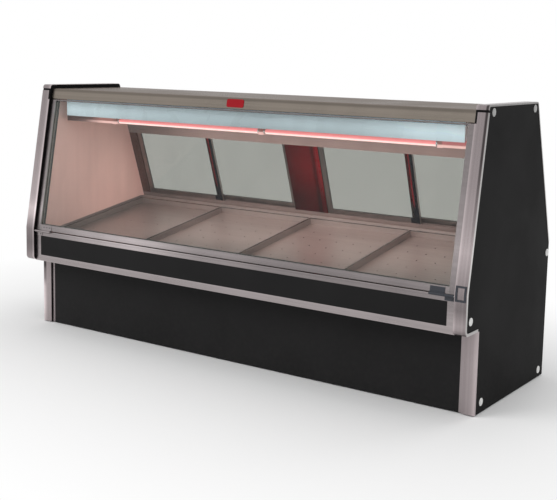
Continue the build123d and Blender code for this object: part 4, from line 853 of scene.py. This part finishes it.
def dabs(centres, angles, long, wide, high):
    """Flattened ellipsoids on a plate that faces +Y, each with its long axis at an angle turned from -X to +Z.

    The height over a share t of the radius is the square root of 1 - t^2."""
    share = np.linspace(0.0, 1.0, 6)
    reach, level = np.append(share, 0.0), np.append(high * np.sqrt(1 - share**2), 0.0)
    shapes = []
    for centre, angle in zip(centres, angles):
        sin, cos = np.sin(angle), np.cos(angle)
        axes = (-long * cos, 0, long * sin), (wide * sin, 0, wide * cos), (0, 1, 0)
        shapes.append(turned(centre[None], axes, reach, level, 20))
    return np.concatenate(shapes)


# Operators

class CaseOperator:
    """What the operators share."""

    bl_options = {"REGISTER", "UNDO"}

    @property
    def tone(self):
        return bpy.context.scene.display_case.finishes

    @property
    def size(self):
        return bpy.context.scene.display_case.fittings


class CASE_OT_dress_steel(CaseOperator, bpy.types.Operator):
    """Brushed stainless on the trims, nose, canopy, glass bars, tank, pans, walls and posts"""

    bl_idname = "case.dress_steel"
    bl_label = "Dress Stainless Steel"

    def execute(self, context):
        tone = self.tone
        trims = edge_trim("edge_trim_steel", tone.trim_steel, tone.edge_steel)
        dress(trims, "front_edge_trims", "rear_edge_trims")
        dress(base_trim("base_trim_steel", tone.trim_steel), "base_front_trims")
        dress(nose_sheet("nose_steel", tone.steel), "nose_fascia")
        _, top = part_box("canopy_top")
        dress(canopy_sheet("canopy_steel", tone.canopy_steel, tone.canopy_top, top.z), "canopy_top")
        dress(glass_bars("glass_bar_steel", tone.steel, tone.stile_inside), "glass_frame")
        inside = brushed("inside_steel", tone.inside_steel, LINES_ALONG_X, gloss=(0.3, 0.5), metal=0.7)
        pans = [f"deck_pan_{number}" for number in NUMBERS]
        dress(inside, "tank_liner", "deck_supports", "drain_strainer", *pans)
        dress(header_sheet("header_sheet", tone.header, tone.steel), "rear_header")
        # The walls' pink is a painted reflection
        walls = brushed("wall_steel", tone.wall_steel, WALL_LINES, gloss=(0.34, 0.5), metal=0.2, mark=0.05)
        dress(walls, "inner_end_walls")
        dress(jamb_post("jamb_steel", tone.jamb, tone.steel), "door_jambs")
        dress(red_post("mullion_steel", tone.mullion, tone.jamb, tone.steel), "centre_mullion")
        dress(brushed("pin_steel", tone.edge_steel, LINES_ALONG_X, gloss=(0.12, 0.25)), "hinge_pins")
        return {"FINISHED"}


class CASE_OT_dress_panels(CaseOperator, bpy.types.Operator):
    """Satin black paint on the end, base, nose and rear panels, and gloss paint on the badge"""

    bl_idname = "case.dress_panels"
    bl_label = "Dress Painted Panels"

    def execute(self, context):
        black = self.tone.black
        # One black paint, made darker on the ends and lighter on the base and nose as painted shade and painted light;
        # the rear panel is lighter too
        ends = satin_paint("black_end_paint", shade(black, 0.7), dust=0.08, shine=0.02)
        dress(ends, "left_end_panel", "right_end_panel")
        dress(satin_paint("black_base_paint", shade(black, 1.3), dust=0.08), "base_front_panel")
        dress(satin_paint("black_nose_paint", shade(black, 1.2)), "nose_insert")
        dress(satin_paint("black_rear_paint", shade(black, 1.6), dust=0.12), "rear_louvre_panel")
        dress(satin_paint("badge_enamel", self.tone.badge, gloss=(0.12, 0.2), shine=0.12), "badge_plate")
        return {"FINISHED"}


class CASE_OT_dress_glass(CaseOperator, bpy.types.Operator):
    """Glass on the front pane and the door panes, anodised frames on the doors, dark metal on the hinges"""

    bl_idname = "case.dress_glass"
    bl_label = "Dress Glass and Doors"

    def execute(self, context):
        tone = self.tone
        dress(sheet_glass("front_pane_glass", tone.clear_glass), "front_glass")
        dress(sheet_glass("door_pane_glass", tone.door_glass), *(f"door_{number}_glass" for number in NUMBERS))
        # Painted shade and a painted red reflection on the doors' overlaps
        frames = door_bars("door_frame_metal", tone.door_metal, tone.meeting_stile, tone.mullion)
        dress(frames, *(f"door_{number}_frame" for number in NUMBERS))
        dress(track_metal("door_track_metal", tone.door_metal, tone.header), "door_tracks")
        dress(hinge_metal("hinge_metal", tone.hinge, tone.steel), "hinge_brackets", "hinge_leaves")
        return {"FINISHED"}


class CASE_OT_dress_lamp_row(CaseOperator, bpy.types.Operator):
    """Gloss paint on the light housing, moulded sockets and a painted ballast"""

    bl_idname = "case.dress_lamp_row"
    bl_label = "Dress Lamp Row"

    def execute(self, context):
        tone = self.tone
        dress(housing_paint("housing_paint", tone.housing), "light_housing")
        low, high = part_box("lamp_tubes")
        level = (low.z + high.z) / 2 - HOLDER_LIT_DROP
        # The holders' glow is painted light
        dress(lamp_holder("socket_plastic", tone.socket, tone.lamp_upper, tone.lamp_lower, level), "lamp_sockets")
        dress(satin_paint("ballast_paint", BALLAST_BLACK), "lamp_ballast")
        return {"FINISHED"}


class CASE_OT_dress_machinery(CaseOperator, bpy.types.Operator):
    """Finishes of the hidden works: shell, rails, feet, foam, coils, lines, drain, compressor and controls"""

    bl_idname = "case.dress_machinery"
    bl_label = "Dress Machinery"

    def execute(self, context):
        tone = self.tone
        zinc = galvanised_sheet("galvanised_sheet", tone.galvanised)
        dress(zinc, "base_rails", "base_legs", "unit_tray", "tub_shell", "fan_shroud")
        dress(brushed("foot_plate_steel", tone.galvanised, LINES_UPRIGHT), "levelling_feet")
        dress(cut_foam("cut_foam"), "foam_insulation")
        fins = brushed("fin_aluminium", tone.aluminium, LINES_UPRIGHT, gloss=(0.3, 0.5))
        dress(fins, "evaporator_coil", "condenser_coil", "fan_blade")
        dress(drawn_copper("drawn_copper", tone.copper), "refrigerant_lines")
        dress(moulded("drain_plastic", DRAIN_WHITE), "drain_pipe")
        machine = satin_paint("machine_paint", MACHINE_BLACK, gloss=(0.2, 0.35), shine=0.5)
        dress(machine, "compressor", "fan_motor")
        dress(satin_paint("control_paint", CONTROL_GREY, gloss=(0.35, 0.5), shine=0.5), "control_box")
        dress(moulded("black_plastic", MACHINE_BLACK), "thermostat_knob", "switch_rocker", "cord_gland")
        return {"FINISHED"}


class CASE_OT_bolt_caps(CaseOperator, bpy.types.Operator):
    """Crowned caps over the bolts of both ends"""

    bl_idname = "case.bolt_caps"
    bl_label = "Bolt Caps"

    def execute(self, context):
        size = self.size
        # Height is a shallow crown that rolls over at the rim and drops to the panel: 1 - 0.3 t^2, then a quarter round
        bend = 0.86
        share = np.linspace(0.0, bend, 8)
        roll = np.linspace(0.15, 1.0, 6) * np.pi / 2
        reach = np.concatenate([share, bend + (1 - bend) * np.sin(roll), [1.0, 0.0]]) * size.cap_radius
        rim = 1 - 0.3 * bend**2
        level = np.concatenate([1 - 0.3 * share**2, rim - 0.4 * (1 - np.cos(roll)), [0.0, 0.0]]) * size.cap_height
        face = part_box("bolt_caps")[1].x - size.cap_height
        grids = np.concatenate([
            turned(np.insert(CAP_PLACES, 0, x, axis=1), axes, reach, level, 40)
            for x, axes in ((face, TO_RIGHT), (-face, TO_LEFT))
        ])
        cap = cap_plastic("cap_plastic", self.tone.cap_grey)
        piece("bolt_cap_crowns", grids, cap, "cabinet", "cap_grey", "bolt_caps")
        return {"FINISHED"}


class CASE_OT_lamp_tubes(CaseOperator, bpy.types.Operator):
    """Two lit tubes end to end, with rolled metal caps"""

    bl_idname = "case.lamp_tubes"
    bl_label = "Lamp Tubes"

    def execute(self, context):
        size, tone = self.size, self.tone
        low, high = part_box("lamp_tubes")
        middle = (low + high) / 2
        columns = 36
        run = MIDDLE_SOCKET[0] - low.x
        starts = np.array([(x, middle.y, middle.z) for x in (low.x, MIDDLE_SOCKET[1])])
        # Glass: a straight tube whose ends close in a quarter round inside the caps
        bend = np.linspace(0.0, np.pi / 2, 6)
        end = np.sin(bend) * size.tube_radius
        inset = size.tube_cap / 2 + (1 - np.cos(bend)) * size.tube_radius * 0.4
        reach = np.concatenate([end, end[::-1]])
        place = np.concatenate([inset, run - inset[::-1]])
        coat_edge = middle.z - LAMP_COAT_DROP
        glow = lamp_glow("lamp_glow", tone.lamp_upper, tone.lamp_lower, coat_edge, LAMP_COAT_FADE)
        glass = turned(starts, TO_RIGHT, reach, place, columns)
        piece("lamp_tube_glass", glass, glow, "cabinet", "lamp_glow", "lamp_tubes")
        # Cap: a cup with a rolled bead at its mouth, turned from its closed end
        whole = (high.z - low.z) / 2
        cup = np.array([0.0, 0.8, 0.96, 1.0, 0.97, 0.97, 1.0, 1.0, 0.965, 0.0]) * whole
        depth = np.array([0.0, 0.0, 0.04, 0.16, 0.26, 0.72, 0.8, 0.94, 1.0, 1.0]) * size.tube_cap
        ends = starts + np.array([run, 0.0, 0.0])
        cups = [turned(at, axes, cup, depth, columns) for at, axes in ((starts, TO_RIGHT), (ends, TO_LEFT))]
        metal = brushed("tube_cap_metal", tone.aluminium, LINES_ALONG_X, gloss=(0.2, 0.35))
        piece("lamp_tube_caps", np.concatenate(cups), metal, "cabinet", "fin_aluminium")
        return {"FINISHED"}


class CASE_OT_gasket(CaseOperator, bpy.types.Operator):
    """Ribbed rubber gasket behind the frame of the front glass"""

    bl_idname = "case.gasket"
    bl_label = "Glass Gasket"

    def execute(self, context):
        depth = self.size.gasket_depth
        low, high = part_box("glass_gasket")
        half_x = (high.x - low.x) / 2
        run = (high.z - low.z - depth * math.sin(FRONT_LEAN)) / math.cos(FRONT_LEAN)
        side, bottom, top = GASKET_WIDTHS
        outer = rounded_rectangle(half_x, run / 2, GASKET_CORNER, steps=2)
        inner = rounded_rectangle(half_x - side, (run - bottom - top) / 2, GASKET_CORNER, steps=2)
        inner += np.array([0.0, (bottom - top) / 2])
        # Back of the strip: three rounded ribs, the absolute sine of one and a half turns over a thin web
        share = np.linspace(0.0, 1.0, 25)
        rib = depth * (0.45 + 0.55 * np.abs(np.sin(share * 3 * np.pi)) ** 0.7)
        rows = np.concatenate([share, share[::-1]])
        levels = np.concatenate([-rib, np.zeros_like(share)])
        centre = front_spot(0.0, GASKET_INSET + run / 2, -FRAME_DEPTH)
        grid = ribbon(centre, (1, 0, 0), FRONT_UP, outer, inner, rows, levels)
        rubber = moulded("gasket_rubber", self.tone.rubber, gloss=(0.55, 0.75), grain=900.0, shine=0.3)
        piece("glass_gasket_strip", grid, rubber, "tilting_glass", "gasket_black", "glass_gasket", wrap_rows=True)
        return {"FINISHED"}


class CASE_OT_pan_hems(CaseOperator, bpy.types.Operator):
    """Rolled edge round the top of each deck pan"""

    bl_idname = "case.pan_hems"
    bl_label = "Pan Hems"

    def execute(self, context):
        radius = self.size.hem_radius
        sin, cos = math.sin(DECK_LEAN), math.cos(DECK_LEAN)
        angle = round_angles(12)
        profile = np.stack([radius * (1 + np.cos(angle)), radius * (np.sin(angle) - 1)], -1)
        steel = brushed("hem_steel", self.tone.inside_steel, LINES_ALONG_X, gloss=(0.18, 0.32))
        for number in NUMBERS:
            low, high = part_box(f"deck_pan_{number}")
            start = Vector(((low.x + high.x) / 2, low.y + PAN_RIM * sin, low.z))
            run = (high.y - start.y) / cos
            centre = start + run / 2 * Vector((0.0, cos, sin)) + PAN_RIM * Vector((0.0, -sin, cos))
            path = rounded_rectangle((high.x - low.x) / 2, run / 2, PAN_CORNER)
            grid = carried(centre, (1, 0, 0), (0.0, cos, sin), path, profile)
            piece(f"pan_{number}_hem", grid, steel, f"pan_{number}", "stainless_inside", wrap_rows=True)
        return {"FINISHED"}


class CASE_OT_screws(CaseOperator, bpy.types.Operator):
    """Pan-head screws of the rear panel, header, posts, control plate and hinges"""

    bl_idname = "case.screws"
    bl_label = "Screws"

    def execute(self, context):
        size = self.size
        plated = brushed("screw_steel", self.tone.edge_steel, LINES_ALONG_X, gloss=(0.2, 0.34))
        dark = satin_paint("screw_dark_metal", self.tone.hinge, gloss=(0.24, 0.4), shine=0.5)
        head = size.screw_radius, size.screw_height
        small = size.hinge_screw_radius, size.screw_height * 0.6
        sheet, edge = 0.0015, 0.014
        low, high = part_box("rear_louvre_panel")
        rear_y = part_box("tub_shell")[1].y
        panel = [(x, rear_y, z) for z in (low.z + edge, high.z - edge) for x in np.linspace(-1.172, 1.172, 7)]
        header = [rear_spot(x, up, 0.0) for up in (0.453, 0.615) for x in np.linspace(-1.15, 1.15, 6)]
        posts = [rear_spot(x, up, -sheet) for up in (0.055, 0.408) for x in (-1.15, -0.06, 0.06, 1.15)]
        control = [(x, rear_y + sheet, z) for x in (-1.0035, -0.7565) for z in (0.1465, 0.3035)]
        rear = np.concatenate([
            screw_heads(panel, TO_REAR, *head),
            screw_heads(header + posts, OFF_REAR_SLOPE, *head),
            screw_heads(control, TO_REAR, *small),
        ])
        piece("rear_screws", rear, plated, "cabinet", "pin_steel")
        plate = 0.002
        front_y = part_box("nose_fascia")[0].y - plate
        fixed = [(side * x, front_y, 0.4975) for side in (-1, 1) for x in (1.158, 1.182)]
        heads = screw_heads(fixed, TO_FRONT, *small)
        piece("hinge_bracket_screws", heads, dark, "cabinet", "hinge_dark")
        moving = [front_spot(side * x, 0.0155, plate) for side in (-1, 1) for x in (1.094, 1.1145, 1.135)]
        heads = screw_heads(moving, OFF_GLASS_FRAME, *small)
        piece("hinge_leaf_screws", heads, dark, "tilting_glass", "hinge_dark")
        return {"FINISHED"}


class CASE_OT_thermostat(CaseOperator, bpy.types.Operator):
    """Fluted thermostat knob with a pointer, and the marks round it"""

    bl_idname = "case.thermostat"
    bl_label = "Thermostat Knob"

    def execute(self, context):
        low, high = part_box("thermostat_knob")
        radius, tall = self.size.knob_radius, high.y - low.y
        x, y, z = (low.x + high.x) / 2, low.y, (low.z + high.z) / 2
        columns, flutes = 120, 12
        # Grip: flutes cut a plain cylinder, as a raised cosine of twelve turns, between skirt and crown
        flute = 0.1 * (0.5 + 0.5 * np.cos(flutes * round_angles(columns))) ** 2
        share = np.array([0.0, 1.0, 1.0, 0.97, 0.74, 0.72, 0.71, 0.69, 0.62, 0.3, 0.0])
        level = np.array([0.0, 0.0, 0.12, 0.22, 0.3, 0.4, 0.86, 0.95, 1.0, 0.97, 0.96])
        fluted = np.array([0, 0, 0, 0, 0, 1, 1, 1, 0.8, 0, 0])
        reach = share[:, None] * radius * (1 - fluted[:, None] * flute)
        grid = turned([(x, y, z)], TO_REAR, reach, level * tall, columns)
        black = moulded("knob_plastic", KNOB_BLACK, gloss=(0.25, 0.4))
        piece("thermostat_grip", grid, black, "thermostat", "black_plastic", "thermostat_knob")
        # Marks: flat dabs, long along the radius, one on the knob and eleven round it
        enamel = moulded("mark_enamel", MARK_WHITE)
        pointer = np.array([(x, y + 0.955 * tall, z + 0.35 * radius)])
        mark = dabs(pointer, [np.pi / 2], 0.0055, 0.0009, 0.0004)
        piece("thermostat_pointer", mark, enamel, "thermostat", "drain_plastic")
        angles = np.pi / 2 + np.radians(np.linspace(-150, 150, 11))
        ring = [x - np.cos(angles) * DIAL_RADIUS, np.full_like(angles, DIAL_FACE), z + np.sin(angles) * DIAL_RADIUS]
        marks = dabs(np.stack(ring, -1), angles, 0.003, 0.0006, 0.0003)
        piece("thermostat_marks", marks, enamel, "cabinet", "drain_plastic")
        return {"FINISHED"}


class CASE_OT_stage(CaseOperator, bpy.types.Operator):
    """Pale floor, white surroundings, soft lights, the lamp row's light and the camera"""

    bl_idname = "case.stage"
    bl_label = "Stage"

    def execute(self, context):
        stage = bpy.context.scene.display_case.stage
        self.floor(stage)
        self.surroundings(stage)
        for light in (
            ("key_light", (-3.2, -4.6, 4.6), (0, 0, 0.6), (4.5, 3.5), stage.key_watts),
            ("fill_light", (5.0, -2.2, 3.4), (0.4, 0, 0.6), (4.0, 3.5), stage.fill_watts),
            ("rear_light", (1.5, 5.0, 4.2), (0, 0, 0.7), (5.0, 3.0), stage.rear_watts),
            ("lamp_row_light", (0.112, -0.215, 1.079), (0.112, 0.2, 0.664), (1.8, 0.03), stage.lamp_watts, PINK, 115),
            ("wall_light", (-0.45, -0.02, 0.86), (-1.16, -0.02, 0.86), (0.5, 0.35), stage.wall_watts, PINK, 120),
        ):
            self.soft_light(*light)
        self.camera(stage)
        bpy.context.scene.view_settings.view_transform = "Standard"
        return {"FINISHED"}

    @staticmethod
    def floor(stage):
        """A level sheet that fades to plain white away from the case, so that no horizon shows."""
        corners = [(x * stage.floor_size, y * stage.floor_size, 0) for x, y in ((-1, -1), (1, -1), (1, 1), (-1, 1))]
        mesh = bpy.data.meshes.new("floor")
        mesh.from_pydata(corners, [], [(0, 1, 2, 3)])
        made = placed("floor", mesh)
        material = bpy.data.materials.new("floor_paper")
        paper = Nodes(material)
        past = paper.coords()
        for operation, other in (("ABSOLUTE", None), ("SUBTRACT", CASE_FOOT), ("MAXIMUM", (0.0, 0.0, 0.0))):
            values = {0: past} if other is None else {0: past, 1: other}
            past = paper.add("VectorMath", values, operation=operation).outputs["Vector"]
        away = paper.add("VectorMath", {0: past}, operation="LENGTH").outputs["Value"]
        share = paper.times(paper.span(away, 0.0, FLOOR_FADE), paper.seen_rays())
        pale = paper.add("BsdfDiffuse", {"Color": rgba(stage.floor_tint)}).outputs["BSDF"]
        white = paper.add("Emission", {"Color": rgba(WHITE), "Strength": 1.0}).outputs["Emission"]
        mixed = paper.add("MixShader", {0: share, 1: pale, 2: white}).outputs["Shader"]
        paper.add("OutputMaterial", {"Surface": mixed})
        mesh.materials.append(material)

    @staticmethod
    def surroundings(stage):
        """White where it is seen, and an even light elsewhere."""
        world = bpy.data.worlds.new("surroundings")
        bpy.context.scene.world = world
        sky = Nodes(world)
        strength = sky.span(sky.seen_rays(), 0.0, 1.0, stage.sky, 1.0)
        light = sky.add("Background", {"Color": rgba(WHITE), "Strength": strength})
        sky.add("OutputWorld", {"Surface": light.outputs["Background"]})

    @staticmethod
    def soft_light(name, place, target, size, power, colour=WHITE, spread=180):
        """A rectangular lamp at a place, facing a target, its colour, and how wide it shines in degrees."""
        lamp = bpy.data.lights.new(name, "AREA")
        lamp.shape = "RECTANGLE"
        lamp.size, lamp.size_y = size
        lamp.energy = power
        lamp.color = colour
        lamp.spread = math.radians(spread)
        made = placed(name, lamp)
        made.location = place
        made.rotation_euler = (Vector(target) - Vector(place)).to_track_quat("-Z", "Y").to_euler()
        made.visible_camera = False
        made.visible_glossy = False
        made.visible_transmission = False

    @staticmethod
    def camera(stage):
        """A camera whose turn, pitch and roll give its right, upward and backward axes."""
        a, e, r = stage.camera_turn, stage.camera_pitch, stage.camera_roll
        ahead = Vector((-math.sin(a) * math.cos(e), math.cos(a) * math.cos(e), -math.sin(e)))
        right = Vector((math.cos(a), math.sin(a), 0.0))
        up = right.cross(ahead)
        leant_right = math.cos(r) * right + math.sin(r) * up
        leant_up = math.cos(r) * up - math.sin(r) * right
        lens = bpy.data.cameras.new("camera")
        lens.sensor_width = 36.0
        lens.lens = stage.lens_mm
        lens.shift_y = stage.lens_shift
        made = placed("camera", lens)
        axes = Matrix((leant_right, leant_up, -ahead)).transposed().to_4x4()
        made.matrix_world = Matrix.Translation(Vector(stage.camera_place)) @ axes
        bpy.context.scene.camera = made


OPERATORS = (
    CASE_OT_dress_steel,
    CASE_OT_dress_panels,
    CASE_OT_dress_glass,
    CASE_OT_dress_lamp_row,
    CASE_OT_dress_machinery,
    CASE_OT_bolt_caps,
    CASE_OT_lamp_tubes,
    CASE_OT_gasket,
    CASE_OT_pan_hems,
    CASE_OT_screws,
    CASE_OT_thermostat,
    CASE_OT_stage,
)


class CASE_PT_panel(bpy.types.Panel):
    """Lists the case's operators in the sidebar"""

    bl_idname = "CASE_PT_panel"
    bl_label = "Display Case"
    bl_space_type = "VIEW_3D"
    bl_region_type = "UI"
    bl_category = "Display Case"

    def draw(self, context):
        for operator in OPERATORS:
            self.layout.operator(operator.bl_idname)


CLASSES = (CaseFinishes, CaseFittings, CaseStage, CaseSettings, *OPERATORS, CASE_PT_panel)


def register():
    """Adds the classes and the scene's settings."""
    for made in CLASSES:
        bpy.utils.register_class(made)
    bpy.types.Scene.display_case = bpy.props.PointerProperty(
        type=CaseSettings, name="Display case", description="Settings of the display case"
    )


def unregister():
    """Removes the settings and the classes."""
    del bpy.types.Scene.display_case
    for made in reversed(CLASSES):
        bpy.utils.unregister_class(made)


def main():
    """Registers the classes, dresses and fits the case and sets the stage."""
    register()
    for operator in OPERATORS:
        group, name = operator.bl_idname.split(".")
        getattr(getattr(bpy.ops, group), name)()


if __name__ == "__main__":
    main()
